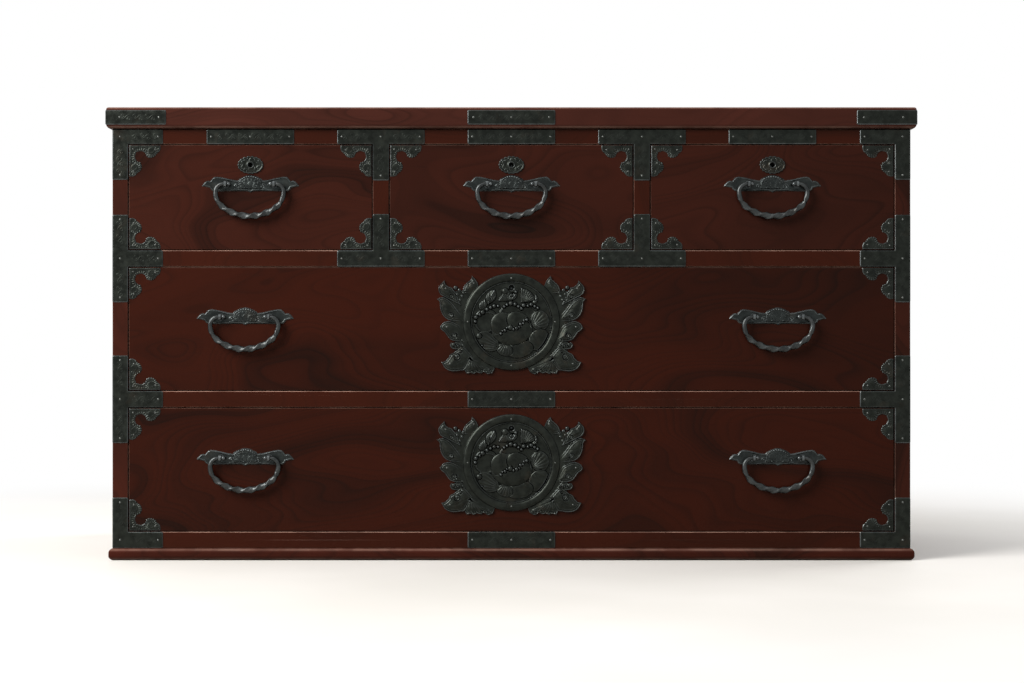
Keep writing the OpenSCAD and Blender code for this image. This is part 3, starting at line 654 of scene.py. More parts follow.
VINE_BEND = 9.0
VINE_REACH = 0.34
STRAP_REACH = 0.36
# What a vine leaves free of its plate, both ends together
ARM_FREE = 14.0
LEG_FREE = 16.0
STRAP_FREE = 34.0
WRAP_FREE = 30.0


def scroll(length, reach, along=0.0, across=0.0, upright=False):
    """A vine that waves along the middle of a plate, with a curl in each bend, as lines."""
    bends = max(2, int(length / VINE_BEND))
    t = np.linspace(-length / 2, length / 2, 10 * bends)
    lines = [np.stack([t, reach * 0.4 * np.sin((t / length + 0.5) * pi * bends)], 1)]
    for k in range(bends):
        at = -length / 2 + (k + 0.5) * length / bends
        side = -1 if k % 2 else 1
        lines.append(spiral(at, -side * reach * 0.3, reach * 0.42, 1.2, 90 * side, side, 14))
    lines = [line + (along, across) for line in lines]
    return [line[:, ::-1] for line in lines] if upright else lines


def engraved(rects, scrolls, corner_r=2.0, line_w=0.5, margin=0.4, pitch=0.6):
    """A flat plate made of rounded rectangles, with a soft edge and raised vine lines."""
    def edge_of(x, z):
        return np.max([rectangle(x, z, *r, corner_r) for r in rects], 0)

    def relief(x, z, gap):
        lines = np.zeros(x.shape)
        for line in scrolls:
            lines = np.maximum(lines, hump(distance_to_line(x, z, line) / line_w))
        return thin_sheet(gap) + 0.3 * lines * (gap > 1.5)

    low, high = np.min(rects, 0) - margin, np.max(rects, 0) + margin
    return plate(edge_of, relief, (low[0], high[1], low[2], high[3]), pitch)


def straight_plate(height):
    rects = [(-STRAP_L / 2, STRAP_L / 2, -height / 2, height / 2)]
    return engraved(rects, scroll(STRAP_L - STRAP_FREE, height * STRAP_REACH))


def corner_plate(height):
    """L plate of the right-hand lower corner, its outer corner at the origin."""
    rects = [(-PLATE_ARM, 0, 0, height), (-SIDE_T, 0, 0, PLATE_ARM)]
    arm, leg = PLATE_ARM - SIDE_T, PLATE_ARM - height
    lines = scroll(arm - ARM_FREE, height * VINE_REACH, -SIDE_T - arm / 2, height / 2)
    lines += scroll(leg - LEG_FREE, SIDE_T * VINE_REACH, height + leg / 2, -SIDE_T / 2, True)
    return engraved(rects, lines)


def side_tee(height):
    """T plate of the right-hand side, its outer edge's middle at the origin."""
    rects = [(-PLATE_ARM, 0, -height / 2, height / 2), (-SIDE_T, 0, -STRAP_L / 2, STRAP_L / 2)]
    arm, leg = PLATE_ARM - SIDE_T, STRAP_L / 2 - height / 2
    lines = scroll(arm - ARM_FREE, height * VINE_REACH, -SIDE_T - arm / 2, 0)
    for s in SIDES:
        middle = s * (STRAP_L + height) / 4
        lines += scroll(leg - ARM_FREE, SIDE_T * VINE_REACH, middle, -SIDE_T / 2, True)
    return engraved(rects, lines)


def post_tee(height, width):
    """T plate over a post, with its leg upwards and the rail's middle at the origin."""
    rects = [
        (-STRAP_L / 2, STRAP_L / 2, -height / 2, height / 2),
        (-width / 2, width / 2, -height / 2, height / 2 + TEE_LEG),
    ]
    arm = STRAP_L / 2 - width / 2
    lines = scroll(TEE_LEG - LEG_FREE, width * VINE_REACH, height / 2 + TEE_LEG / 2 - 4, 0, True)
    for s in SIDES:
        lines += scroll(arm - ARM_FREE, height * VINE_REACH, s * (STRAP_L + width) / 4, 0)
    return engraved(rects, lines)


def frame_plates(iron):
    """The iron on the front frame, a piece for each kind of plate."""
    kinds = {kind: Mesh() for kind in ("corner", "side_tee", "post_tee", "straight")}
    heights = [high - low for low, high in RAILS]
    middles = [(low + high) / 2 for low, high in RAILS]

    def pair(kind, part, x, z, way=1):
        for s in SIDES:
            on_front(kinds[kind], part, s * x, z, FRONT_Y, s, way)

    for k, edge, way in ((0, 0, 1), (3, 1, -1)):
        pair("corner", corner_plate(heights[k]), HALF_W, RAILS[k][edge], way)
    part = side_tee(heights[1])
    for k in (1, 2):
        pair("side_tee", part, HALF_W, middles[k])
    for k, way in ((2, 1), (3, -1)):
        pair("post_tee", post_tee(heights[k], POST_OUT - POST_IN), (POST_IN + POST_OUT) / 2, middles[k], way)
    for x, k in [(0, k) for k in range(4)] + [(s * PITCH, 3) for s in SIDES]:
        on_front(kinds["straight"], straight_plate(heights[k]), x, middles[k], FRONT_Y)
    for kind, mesh in kinds.items():
        finish_piece(mesh, f"iron_{kind}_plates", iron, "root", "black_iron", "frame_plates")


def wrapped(mesh, part, side, corner_x, corner_y, mid_z):
    """Bends a flat plate round a corner of the top board: x below 0 is in front, above 0 on the side."""
    u, v, h = part[0].T
    turn = np.clip(u / BEND * 0.5 + 0.5, 0, 1) * pi / 2
    front, back = np.minimum(u + BEND, 0), np.maximum(u - BEND, 0)
    x = corner_x + front + h * np.sin(turn)
    y = corner_y + back - h * np.cos(turn)
    mesh.add(np.stack([side * x, y, mid_z + v], 1), turned_over(part[1], side))


def top_board_plates(iron):
    """A straight plate on the middle of the top board's edge, and one wrapped round each front corner."""
    low, high = box_mm("top_board_plates")
    height, mid = high[2] - low[2], (high[2] + low[2]) / 2
    corner_x, corner_y = high[0] - PLATE_T, low[1] + PLATE_T
    mesh = Mesh()
    on_front(mesh, straight_plate(height), 0, mid, corner_y)
    rects = [(-WRAP_FRONT - BEND, WRAP_SIDE + BEND, -height / 2, height / 2)]
    lines = scroll(WRAP_FRONT - STRAP_FREE, height * STRAP_REACH, -WRAP_FRONT / 2 - 4, 0)
    lines += scroll(WRAP_SIDE - WRAP_FREE, height * STRAP_REACH, WRAP_SIDE / 2 + 4, 0)
    part = engraved(rects, lines)
    for s in SIDES:
        wrapped(mesh, part, s, corner_x, corner_y, mid)
    finish_piece(mesh, "iron_top_board_plates", iron, "root", "black_iron", "top_board_plates")


# ---- drawers' corner ornaments

ORNAMENT_NAILS = [(6.6, 6.6), (ORNAMENT_LEG - 7, 7.5), (7.5, ORNAMENT_LEG - 7)]
NOTCH = 16.8
NOTCH_R = 8.3


def ornament_edge(x, z, far=200.0):
    """Two cloud-shaped legs and a round notch, drawn from a lower left-hand corner."""
    x, z = x - ARRIS, z - ARRIS
    tip = ORNAMENT_LEG
    shapes = []
    for a, b in ((x, z), (z, x)):
        leg = rectangle(a, b, 0, tip - 8, 0, 10)
        foot = rectangle(a, b, 0, tip - 0.5, 0, 4.2, 1.0)
        lobe = circle(a, b, tip - 14.8, 8.8, 9.8)
        end = circle(a, b, tip - 10.0, 3.4, 9.9)
        finger = circle(a, b, tip - 22.2, 10.4, 2.8)
        shapes += [leg, foot, lobe, end, finger]
    notch = circle(x, z, NOTCH, NOTCH, NOTCH_R)
    inner = rectangle(x, z, 0, far, 0, far)
    return np.min([np.max(shapes, 0), -notch, inner], 0)


def ornament():
    """A corner ornament with rays on its lobes and round its notch."""
    def relief(x, z, gap):
        h = thin_sheet(gap)
        cx, cz, r = ORNAMENT_LEG - 12.7, 8.5, 12.0
        for a, b in ((x, z), (z, x)):
            out = np.hypot(a - cx, b - cz)
            band = step((out - 4.6) / 1.2) * step((r - out) / 1.5) * step((b - 2.4) / 2)
            h = h - 0.55 * rays(a, b, cx, cz, 18) * band
            h = h + 0.22 * hump((out - 3.6) / 0.6)
        out = np.hypot(x - NOTCH, z - NOTCH)
        fan = 0.6 * rays(x, z, NOTCH, NOTCH, 22)
        return h - fan * step((out - 9.4) / 0.8) * step((14.0 - out) / 1.5)

    return plate(ornament_edge, relief, (0, ORNAMENT_LEG + 2, 0, ORNAMENT_LEG + 2), 0.5)


def corner_ornaments(part, drawer, iron, steel):
    low, high = front_of(drawer)
    body, node = f"{drawer}_drawer", f"{drawer}_corner_plates"
    sheets, nails = Mesh(), Mesh()
    for sx in SIDES:
        for sz in SIDES:
            cx = low[0] if sx > 0 else high[0]
            cz = low[2] if sz > 0 else high[2]
            on_front(sheets, part, cx, cz, FACE_Y, sx, sz)
            for x, z in ORNAMENT_NAILS:
                domed_nail(nails, cx + sx * x, cz + sz * z, FACE_Y - PLATE_T)
    finish_piece(sheets, f"{drawer}_corner_ornaments", iron, body, "black_iron", node)
    finish_piece(nails, f"{drawer}_ornament_nails", steel, body, "bright_nails", node)


# ---- handles

# Right half of a handle plate from its top to its foot: lines that run on from one another
HANDLE_EDGE = [
    [(0, 14.4), (4.6, 13.7), (9.2, 12.2), (13.2, 10.2), (16.4, 8.4), (18.4, 6.0)],
    [(26, 6.9), (36, 9.2), (44.5, 11.0), (50, 11.6), (54, 10.9), (57, 8.4), (59.9, 4.9)],
    [(62.6, 5.7), (66.2, 4.6), (69.6, 1.4), (72.2, -2.4)],
    [(66.5, -3.2), (62.8, -4.2), (60.2, -4.8)],
    [(58.6, -7.6), (55.2, -9.6), (48, -10.0), (24, -9.8), (6, -9.9)],
    [(3.2, -10.4), (0, -11.8)],
]


def handle_outline():
    lines = run_on(HANDLE_EDGE)
    right = np.vstack([smooth(line)[:-1] for line in lines] + [lines[-1][-1:]])
    left = right[1:-1][::-1] * (-1, 1)
    return np.vstack([right, left])


def handle_plate_part():
    """A cloud-shaped plate with a beaded crest, a fanned crown and scrolls."""
    loop = handle_outline()
    crest = arc(0, 1.5, 15.2, 9.8, np.radians(np.arange(14, 167, 13.8)))

    def edge_of(x, z):
        gap = outline(x, z, loop)
        for cx, cz in crest:
            gap = np.maximum(gap, circle(x, z, cx, cz, 2.7))
        return gap

    def relief(x, z, gap):
        h = chamfer(gap, 0.5, 1.9, 1.5) - 0.6 * step((gap - 1.5) / 1.2)
        crown = ellipse(x, z, 0, 0.4, 17.5, 11.6)
        fan = 0.35 * rays(x, z, 0, -7.5, 18) * step((crown - 2.5) / 2)
        h = np.where((crown > 0) & (z > -6), 1.4 + 1.3 * bulge(crown / 5) + fan, h)
        for cx, cz in crest:
            h = bead(x, z, h, cx, cz, 2.0, 1.6, 3.1)
        h = lay(h, ellipse(x, z, 0, -0.5, 4.4, 5.6), 2.3, 3.3, 3.0)
        for s in SIDES:
            h = lay(h, ellipse(x, z, s * 6.6, -1.0, 3.0, 5.6, s * -32), 2.1, 3.0, 2.2)
            h = lay(h, ellipse(x, z, s * 12.4, -3.6, 5.0, 2.7, s * -18), 1.8, 2.7, 2.0)
            h = ridge(x, z, h, spiral(s * 19.5, -3.2, 4.4, 1.3, 90 - s * 90, s), 0.55, 0.7)
            h = ridge(x, z, h, [(s * 24, -6.9), (s * 14, -7.6), (s * 4, -7.2)], 0.6, 0.8)
            h = ridge(x, z, h, smooth([(s * 24, -2), (s * 29, 1.5), (s * 33, 1.0)]), 0.5, 0.35)
        return h

    return plate(edge_of, relief, (-73, 73, -12.5, 15.5), 0.5)


BAIL_HALF = 50.5
BAIL_DROP = 47.7
BEND_R = 28.0
BAIL_START = 38.4
KNOB_X = 30.9
KNOB_R = 3.2
TWIST_PITCH = 35.6
# Radius of a bail at distances from its end, and in the middle of the grip
BAIL_TAPER = [(0, 2.45), (7.4, 2.45), (7.5, 2.5), (12, 3.1), (30, 3.7), (48, 4.1), (62, 4.5)]
GRIP_R = 4.7
# How far the twist reaches from the middle of the grip
TWIST_REACH = 62.0


def bail_path():
    """Right half of a bail's middle line, as (x, z) about its pivot, from the knob to the grip's middle."""
    shoulder_r = BAIL_HALF - BAIL_START
    side_x, drop = BAIL_HALF - BEND_R, BAIL_DROP - shoulder_r
    grip_r = (side_x * side_x + drop * drop - BEND_R**2) / (2 * (drop - BEND_R))
    turn = atan2(grip_r - drop, side_x)
    points = [(x, 0.0) for x in np.linspace(KNOB_X, BAIL_START, 10)[:-1]]
    points += arc(BAIL_START, -shoulder_r, shoulder_r, shoulder_r, np.radians(np.linspace(90, 0, 20)[:-1]))
    points += arc(side_x, -shoulder_r, BEND_R, BEND_R, np.linspace(0, -turn, 34)[:-1])
    points += arc(0, grip_r - BAIL_DROP, grip_r, grip_r, np.linspace(-turn, -pi / 2, 56))
    return np.array(points)


def bail_part(around=48):
    """The whole bail as a tube: plain round arms that thicken, and a grip with two twisted ribs."""
    right = bail_path()
    path = np.vstack([right * (-1, 1), right[::-1][1:]])
    run = np.concatenate([[0], np.cumsum(np.hypot(*np.diff(path, axis=0).T))])
    middle = run[-1] / 2
    away = np.abs(run - middle)
    tangent = np.gradient(path, run, axis=0)
    tangent /= np.hypot(*tangent.T)[:, None]
    radius = np.interp(middle - away, *np.array([*BAIL_TAPER, (middle, GRIP_R)]).T)
    twisted = step((TWIST_REACH - away) / 8.0)
    turned = 2 * pi * (run - middle) / TWIST_PITCH
    angle = np.linspace(0, 2 * pi, around, endpoint=False)
    ribbed = 0.84 + 0.3 * np.abs(np.cos(angle)) ** 5
    flat = 1 - 0.11 * twisted
    points, faces = [], []
    for k, (x, z) in enumerate(path):
        r = radius[k] * (1 + twisted[k] * (ribbed - 1))
        at = angle + turned[k]
        nx, nz = -tangent[k][1], tangent[k][0]
        sine, cosine = np.sin(at), np.cos(at)
        points.append(np.stack([x + nx * r * sine, -r * flat[k] * cosine, z + nz * r * sine], 1))
        if k:
            a, b = (k - 1) * around, k * around
            faces += [[a + n, a + (n + 1) % around, b + (n + 1) % around, b + n] for n in range(around)]
    last = (len(path) - 1) * around
    faces.append(list(range(around))[::-1])
    faces.append([last + n for n in range(around)])
    return np.vstack(points), faces


def knob(cx, rings=10, around=20):
    """A small ball on the end of a bail's pin."""
    points, faces = [(cx, 0, -KNOB_R)], []
    for k in range(1, rings):
        t = pi * k / rings
        for n in range(around):
            a = 2 * pi * n / around
            points.append((cx + KNOB_R * sin(t) * cos(a), KNOB_R * sin(t) * sin(a), -KNOB_R * cos(t)))
    points.append((cx, 0, KNOB_R))
    top, last = len(points) - 1, 1 + (rings - 2) * around
    for n in range(around):
        m = (n + 1) % around
        faces.append([0, 1 + m, 1 + n])
        faces.append([top, last + n, last + m])
        for k in range(rings - 2):
            a, b = 1 + k * around, 1 + (k + 1) * around
            faces.append([a + n, a + m, b + m, b + n])
    return np.array(points), faces


def handles(iron, bail_iron_highlit):
    """A bail with its knobs on each hinge, and the handle plates of each drawer."""
    plate_part = handle_plate_part()
    bail_parts = [bail_part()] + [knob(s * KNOB_X) for s in SIDES]
    sheets = {}
    for joint in frame["joints"]:
        if joint["type"] == "hinge":
            body = joint["child"]
            pivot = np.array(joint["pos_m"]) / MM
            sheet = sheets.setdefault(joint["parent"].removesuffix("_drawer"), Mesh())
            on_front(sheet, plate_part, pivot[0], pivot[2], FACE_Y)
            bail = Mesh()
            for points, faces in bail_parts:
                bail.add(points + pivot, faces)
            finish_piece(bail, f"{body}_twisted", bail_iron_highlit, body, "black_iron", body)
    for drawer, sheet in sheets.items():
        body, node = f"{drawer}_drawer", f"{drawer}_handle_plate"
        finish_piece(sheet, f"{drawer}_handle_plates", iron, body, "black_iron", node)


# ---- small lock plates

SMALL_LOCK_RX = 19.5
SMALL_LOCK_RZ = 13.75
LOBE_R = 2.0
SMALL_KEYHOLE_R = 3.5


def small_lock_part():
    """An oval plate with a lobed edge, leaves and berries round a raised keyhole rim."""
    rx, rz = SMALL_LOCK_RX, SMALL_LOCK_RZ
    lobes = arc(0, 0, rx - LOBE_R, rz - LOBE_R, np.radians(np.arange(0, 360, 20)))

    def edge_of(x, z):
        gap = ellipse(x, z, 0, 0, rx - 1.2, rz - 1.2)
        for cx, cz in lobes:
            gap = np.maximum(gap, circle(x, z, cx, cz, LOBE_R))
        return np.minimum(gap, -circle(x, z, 0, 0, SMALL_KEYHOLE_R))

    def relief(x, z, gap):
        h = 0.7 + 0.7 * bulge(gap / 1.0)
        outer = ellipse(x, z, 0, 0, rx, rz)
        h = h + 0.5 * hump((outer - 1.5) / 0.7) - 0.3 * step((outer - 2.4) / 0.8)
        for n in range(10):
            a = 2 * pi * n / 10 + 0.3
            turn = degrees(a) + (55 if n % 2 else -40)
            h = lay(h, ellipse(x, z, 12.2 * cos(a), 8.0 * sin(a), 3.6, 1.9, turn), 1.2, 2.0, 1.6)
            h = bead(x, z, h, 14.6 * cos(a + 0.3), 9.8 * sin(a + 0.3), 1.0, 1.2, 2.1)
        away = np.hypot(x, z)
        return np.where(away < 6.4, 1.3 + 1.1 * hump((away - 4.6) / 0.9), h)

    return plate(edge_of, relief, (-20.5, 20.5, -14.6, 14.6), 0.4)


# ---- large lock plates: wings

# Leaves of the right-hand wing about the disc's middle, from the lowest layer up: an edge out to the tip,
# and the points of the edge back to its start
WING = [
    ([(24, -66), (26.6, -73.4), (31, -77), (36.6, -77.4), (41, -74.6), (46, -76.8), (51, -75.4), (56, -77.4),
      (61, -75.8), (66.8, -77.4)],
     [(70.4, -69), (69.4, -61), (58, -50)]),
    ([(66, 0), (82, 1), (91, 2), (97, 4.6), (101.6, 9), (105, 16), (106.4, 24), (107, 29.6), (111, 34)],
     [(102.6, 36.8), (95, 34), (87, 27), (78, 15)]),
    ([(68, -38), (76, -41), (83.4, -40.8), (89, -39.2), (91.8, -34.8)],
     [(89.6, -31), (85.6, -30.6), (80, -29.4), (74, -30)]),
    ([(56, 42), (73, 43), (72, 48), (70, 53.5), (67, 57.2), (63.2, 60.6), (60, 63.2), (58.5, 68.3)],
     [(54.4, 64.4), (50.4, 58), (49, 50)]),
    ([(64, -30), (82, -29), (90.4, -26.6), (94.4, -22.6), (99, -16), (104, -12), (106.4, -8.6)],
     [(103, -2.6), (97.4, 0.4), (91, 1), (83, -2), (75, -8)]),
    ([(74, 24), (98, 36), (106, 41), (108.4, 48.6), (106, 55), (102.6, 58.4), (99.4, 61.9)],
     [(98, 56.4), (93.6, 52.4), (88.6, 51), (85.6, 47), (80.6, 41), (78.6, 33)]),
    ([(58, -50), (68, -70), (76, -72.6), (84, -73.6), (92, -72.6), (99, -68.6), (104.2, -59.8)],
     [(98.4, -58), (93.6, -53.4), (91, -48.4), (85, -45), (79.6, -41.4), (71, -37)]),
]
WING_GROUND = [
    (50, 48), (60, 50), (72, 47), (80, 46), (86, 46), (92, 38), (97, 34), (100, 24), (96, 10),
    (90, 2.5), (90, -1), (93, -8), (90, -22), (84, -28), (85, -34), (82, -41), (86, -47), (80, -66),
    (60, -73), (28, -73), (20, -60),
]
# Curls: place, radius, degrees at which each starts, and the way it winds
WING_CURLS = [
    (89.6, 9.4, 4.4, 200, 1), (84.4, -20.6, 4.4, 160, 1), (80.5, -52, 5.0, 120, -1),
    (88.8, 37.6, 3.6, 250, 1),
]
# Berries: place, radius and height; the free ones widen the outline
FREE_BERRIES = [(83, 50.6, 3.3, 4.4), (77.4, 46.8, 2.6, 3.5), (80.4, 40.6, 2.6, 3.5)]
BERRIES = FREE_BERRIES + [
    (71, 43.4, 2.6, 3.5), (73, 38, 2.3, 3.4), (76.4, 32.4, 2.2, 3.3), (85.6, -33.8, 3.0, 4.0),
    (79, -36, 2.3, 3.4), (73, -27.4, 2.2, 3.3), (72.4, -35, 2.2, 3.3), (75, -44, 2.2, 3.3),
    (31, -73.4, 2.4, 3.0), (36.4, -74, 2.2, 3.0), (44, -73, 2.4, 3.0), (51, -73.6, 2.2, 3.0),
    (58, -74, 2.2, 3.0),
]
WING_VEINS = [
    [(58, 48), (63, 54), (60, 63.5)],
    [(78, 18), (97, 20), (106, 29)],
    [(66, -54), (85, -63), (99, -61)],
]
WING_NAILS = [(56, 57.2), (97.6, 49.4), (95.6, -7.7), (91, -62.3), (64.2, -75.4)]
KEYHOLE_Z = 51
KEYHOLE_R = 4.0


def wide_lock_edge(x, z, leaves):
    """The disc, its two wings of leaves and the keyhole."""
    side = np.abs(x)
    gap = np.maximum(circle(x, z, 0, 0, DISC_R), outline(side, z, WING_GROUND))
    for leaf in leaves:
        gap = np.maximum(gap, outline(side, z, leaf))
    for cx, cz, r, _ in FREE_BERRIES:
        gap = np.maximum(gap, circle(side, z, cx, cz, r))
    return np.minimum(gap, -circle(x, z, 0, KEYHOLE_Z, KEYHOLE_R))


def wing_relief(x, z, h, leaves):
    """Leaves with raised rims that overlap and merge at the disc, and curls and berries between them."""
    side = np.abs(x)
    free = step((np.hypot(x, z) - DISC_R) / 10)
    for layer, leaf in enumerate(leaves):
        gap = outline(side, z, leaf)
        rim = 0.12 * layer + 1.3 * bulge(gap / 1.3) - 0.8 * hump((gap - 2.2) / 0.8)
        rim = rim + 0.35 * hump((gap - 3.6) / 0.7)
        h = np.where(gap > 0, 1.9 + free * rim + 1.7 * step((gap - 2.4) / 8), h)
    for vein in WING_VEINS:
        h = ridge(side, z, h, smooth(vein), 1.2, -0.35)
    for cx, cz, r, start, way in WING_CURLS:
        h = lay(h, circle(side, z, cx, cz, r), 2.6, 4.7, 3.0)
        h = ridge(side, z, h, spiral(cx, cz, r * 0.8, 1.1, start, way), 0.8, -1.1)
    for cx, cz, r, high in BERRIES:
        h = bead(side, z, h, cx, cz, r, 1.8, high)
    for end in range(30, 63, 5):
        h = ridge(side, z, h, [(66 - end * 0.1, -55 + end * 0.02), (end, -70)], 0.8, -0.6)
    return h


# ---- large lock plates: disc and peony

RIM_MIDDLE_R = 66.0
RIM_HALF_W = 6.1
LIP_R = 59.2
LIP_HALF_W = 1.0
FIELD_R = 58.3
RIM_NAIL_R = 64.8
PEONY_R = 57.6
PEONY_DEPTH = 1.3

# Leaves above the flower: an edge out to the tip, points of the edge back, and where its grooves start
TOP_LEAVES = [
    ([(-41, 15), (-48.6, 20), (-47, 28), (-38.8, 35.4)], [(-35, 27)], (-41, 13)),
    ([(-35, 24), (-39, 33), (-36.6, 41), (-31, 46.6), (-24.6, 49)], [(-22, 42), (-24, 33)], (-35, 22)),
    ([(28, 24), (33, 34), (36, 42)], [(39.6, 35), (37, 27)], (28, 22)),
    ([(13, 28), (13, 40), (14.4, 50.6)], [(24, 48), (31.6, 41.4), (35, 33), (26, 29)], (17, 26)),
    ([(-20, 30), (-18, 36), (-14.6, 40), (-14.6, 46.4), (-9.8, 50.6), (-4.4, 48.6), (-1.8, 44)],
     [(2, 41.6), (6, 43.6), (9.4, 48.6), (9, 39), (5, 33), (-4, 30)], (-6, 24)),
]
# Petals: place, radii, degrees of turn, lowest and highest, width of the rounded edge, and for a fanned one
# where its grooves spread from, their number and depth. Behind the heart, three petals and their hollows
BACK_PETALS = [
    (-38, 2, 18.5, 17.5, 35, 1.4, 4.0, 6.0),
    (26, 13, 18.5, 13, -12, 1.4, 4.0, 5.0),
    (-2, 10, 17, 17.5, 0, 1.6, 4.2, 6.0),
    (-36.5, -1, 15, 13.5, 32, 3.4, 2.2, 7.0),
    (-1, 11.6, 14.5, 12.0, 0, 3.6, 2.6, 6.0),
    (25, 11.6, 13.0, 9.6, -12, 3.4, 2.4, 6.0),
]
FAN_PETALS = [
    (42.4, 2.0, 13.8, 15.4, 12, 1.3, 4.6, 8.0, (29, -9, 28, 0.55)),
    (40.5, -26.5, 14.4, 17.4, -36, 1.2, 4.4, 8.0, (24, -12, 16, 0.35)),
    (12.0, -40.6, 21.4, 13.0, 10, 1.2, 4.2, 8.0, (4, -22, 16, 0.3)),
    (-9.6, -41.6, 12.6, 9.4, -14, 1.5, 4.4, 7.0, (-6, -28, 28, 0.45)),
    (-35.0, -29.0, 18.8, 13.0, -38, 1.4, 4.6, 8.0, (-14, -38, 32, 0.6)),
]
HEART_PETALS = [
    (0.4, -10.4, 30.4, 24.6, 0, 1.8, 5.0, 12.0),
    (-13.0, -3.4, 17.8, 17.8, 25, 2.2, 6.0, 16.0),
    (9.6, 0.2, 17.6, 14.6, -24, 2.8, 6.0, 13.0),
]
# Beads along an edge: place and radius. Single beads: place, radius, lowest and highest
BACK_BEADS = [
    (-53.5, 0.2, 2.9), (-52.6, 6.6, 3.4), (-46.8, 10.6, 2.8), (-42.6, 14.0, 3.8), (-36.4, 18.4, 3.0),
    (-31.0, 21.2, 2.8), (-25.6, 23.4, 3.2), (-19.6, 23.4, 2.4), (-10.6, 22.4, 2.6), (-6.4, 25.2, 2.8),
    (-0.8, 27.0, 3.8), (5.4, 26.0, 3.2), (10.4, 22.6, 2.6), (15.0, 19.6, 3.0), (18.4, 24.2, 3.6),
    (24.6, 23.6, 2.8), (29.4, 25.4, 3.4), (34.6, 22.8, 2.8), (39.0, 20.4, 2.6),
]
HEART_BEADS = [
    (-15.6, -17.6, 2.2), (-12.8, -13.6, 2.0), (-9.4, -12.6, 2.4), (-6.2, -9.4, 2.0), (-1.6, -8.8, 3.4),
    (3.6, -11.2, 2.2), (7.6, -9.6, 2.6), (11.8, -7.4, 2.0), (13.6, -3.6, 2.6), (17.4, -2.2, 1.8),
    (18.6, 1.8, 2.2), (22.6, 2.8, 2.4),
]
TOP_BEADS = [(-9.4, 45.6, 5.0, 2.4, 5.2), (6.6, 44.4, 2.6, 2.2, 4.4)]
SIDE_BEADS = [(-47.8, -21.0, 4.8, 2.2, 5.6), (-51.4, -27.0, 2.6, 1.8, 4.4), (-43.6, -35.6, 2.6, 1.8, 4.2)]


def disc_relief(x, z, h):
    """Rounded rim with an inner lip, and the field that it frames."""
    out = np.hypot(x, z)
    rim = 1.4 + 3.4 * np.sqrt(np.clip(1 - np.abs((out - RIM_MIDDLE_R) / RIM_HALF_W) ** 2.3, 0, 1))
    lip = 1.4 + 1.2 * np.sqrt(np.clip(1 - ((out - LIP_R) / LIP_HALF_W) ** 2, 0, 1))
    h = np.where(out < DISC_R, np.maximum(1.4, rim), h)
    h = np.where(np.abs(out - LIP_R) < LIP_HALF_W, lip, h)
    return np.where(out < FIELD_R, 0.9 + 0.9 * (1 - (out / FIELD_R) ** 2), h)


def grooves(x, z, gap, fx, fz, count, depth, inset=1.6):
    """Grooves that spread from a point, inside a petal."""
    return -depth * rays(x, z, fx, fz, count) * step((gap - inset) / 1.5)


def petal(x, z, h, cx, cz, rx, rz, turn, low, high, edge, fan=None):
    """A rounded petal, whose edge stands a little proud of low so that the groove round it stays soft."""
    gap = ellipse(x, z, cx, cz, rx, rz, turn)
    made = low + (high - low) * (0.35 + 0.65 * bulge(gap / edge))
    if fan:
        made = made + grooves(x, z, gap, *fan)
    return np.where(gap > 0, made, h)


def top_leaves(x, z, h):
    """The leaves above the flower, with a stalk, two buds and a curl."""
    for out, back, focus in TOP_LEAVES:
        gap = outline(x, z, loop_of(out, back))
        made = 1.2 + 2.6 * bulge(gap / 4.0) + grooves(x, z, gap, *focus, 36, 0.5, 0.6)
        h = np.where(gap > 0, made, h)
    h = ridge(x, z, h, smooth([(-34, 27), (-31, 36), (-25.6, 46.6)]), 0.7, 0.9)
    for bud in TOP_BEADS:
        h = bead(x, z, h, *bud)
    return ridge(x, z, h, spiral(1.2, 39.6, 4.0, 1.2, 40), 0.7, -1.2)


def heart(x, z, h):
    """The closed petals in the middle, and a bowl in front of them with a beaded brim."""
    for closed in HEART_PETALS:
        h = petal(x, z, h, *closed)
    bowl = ellipse(x, z, 0.4, -12.0, 29.0, 22.6)
    brim = np.interp(x, [c[0] for c in HEART_BEADS], [c[1] for c in HEART_BEADS])
    below = step((brim - z) / 1.4) * (bowl > 0)
    h = h * (1 - below) + below * (3.2 + 2.6 * bulge(bowl / 17))
    for cx, cz, r in HEART_BEADS:
        h = bead(x, z, h, cx, cz, r * 1.35, 3.8, 7.5)
    return h


def peony_relief(x, z, h):
    """Leaves above, beaded petals behind, fanned petals round a closed heart."""
    h = top_leaves(x, z, h)
    for hollow in BACK_PETALS:
        h = petal(x, z, h, *hollow)
    for cx, cz, r in BACK_BEADS:
        h = bead(x, z, h, cx, cz, r * 1.15, 2.0, 6.4)
    for fanned in FAN_PETALS:
        h = petal(x, z, h, *fanned)
    for side in SIDE_BEADS:
        h = bead(x, z, h, *side)
    return heart(x, z, h)


def wide_lock_part():
    """The large lock plate, and the places and heights of its nails."""
    leaves = [loop_of(*lines) for lines in WING]

    def relief(x, z, gap):
        h = wing_relief(x, z, np.full(x.shape, 1.9), leaves)
        h = disc_relief(x, z, h)
        inner = step((PEONY_R - np.hypot(x, z)) / 1.0)
        h = h * (1 - inner) + inner * (PEONY_DEPTH * peony_relief(x, z, h) - 0.4)
        hole = np.hypot(x, z - KEYHOLE_Z)
        h = np.where(hole < 6.0, np.minimum(h, 1.6 + 1.2 * step((hole - 4) / 2.0)), h)
        return np.minimum(h, 0.5 + 9.0 * bulge(gap / 1.4))

    def edge_of(x, z):
        return wide_lock_edge(x, z, leaves)

    spots = arc(0, 0, RIM_NAIL_R, RIM_NAIL_R, np.radians([0, 90, 180, 270]))
    spots += [(s * x, z) for s in SIDES for x, z in WING_NAILS]
    x, z = np.array(spots).T
    heights = relief(x, z, edge_of(x, z))
    return plate(edge_of, relief, (-115, 115, -79, 76), 0.6), list(zip(x, z, heights))


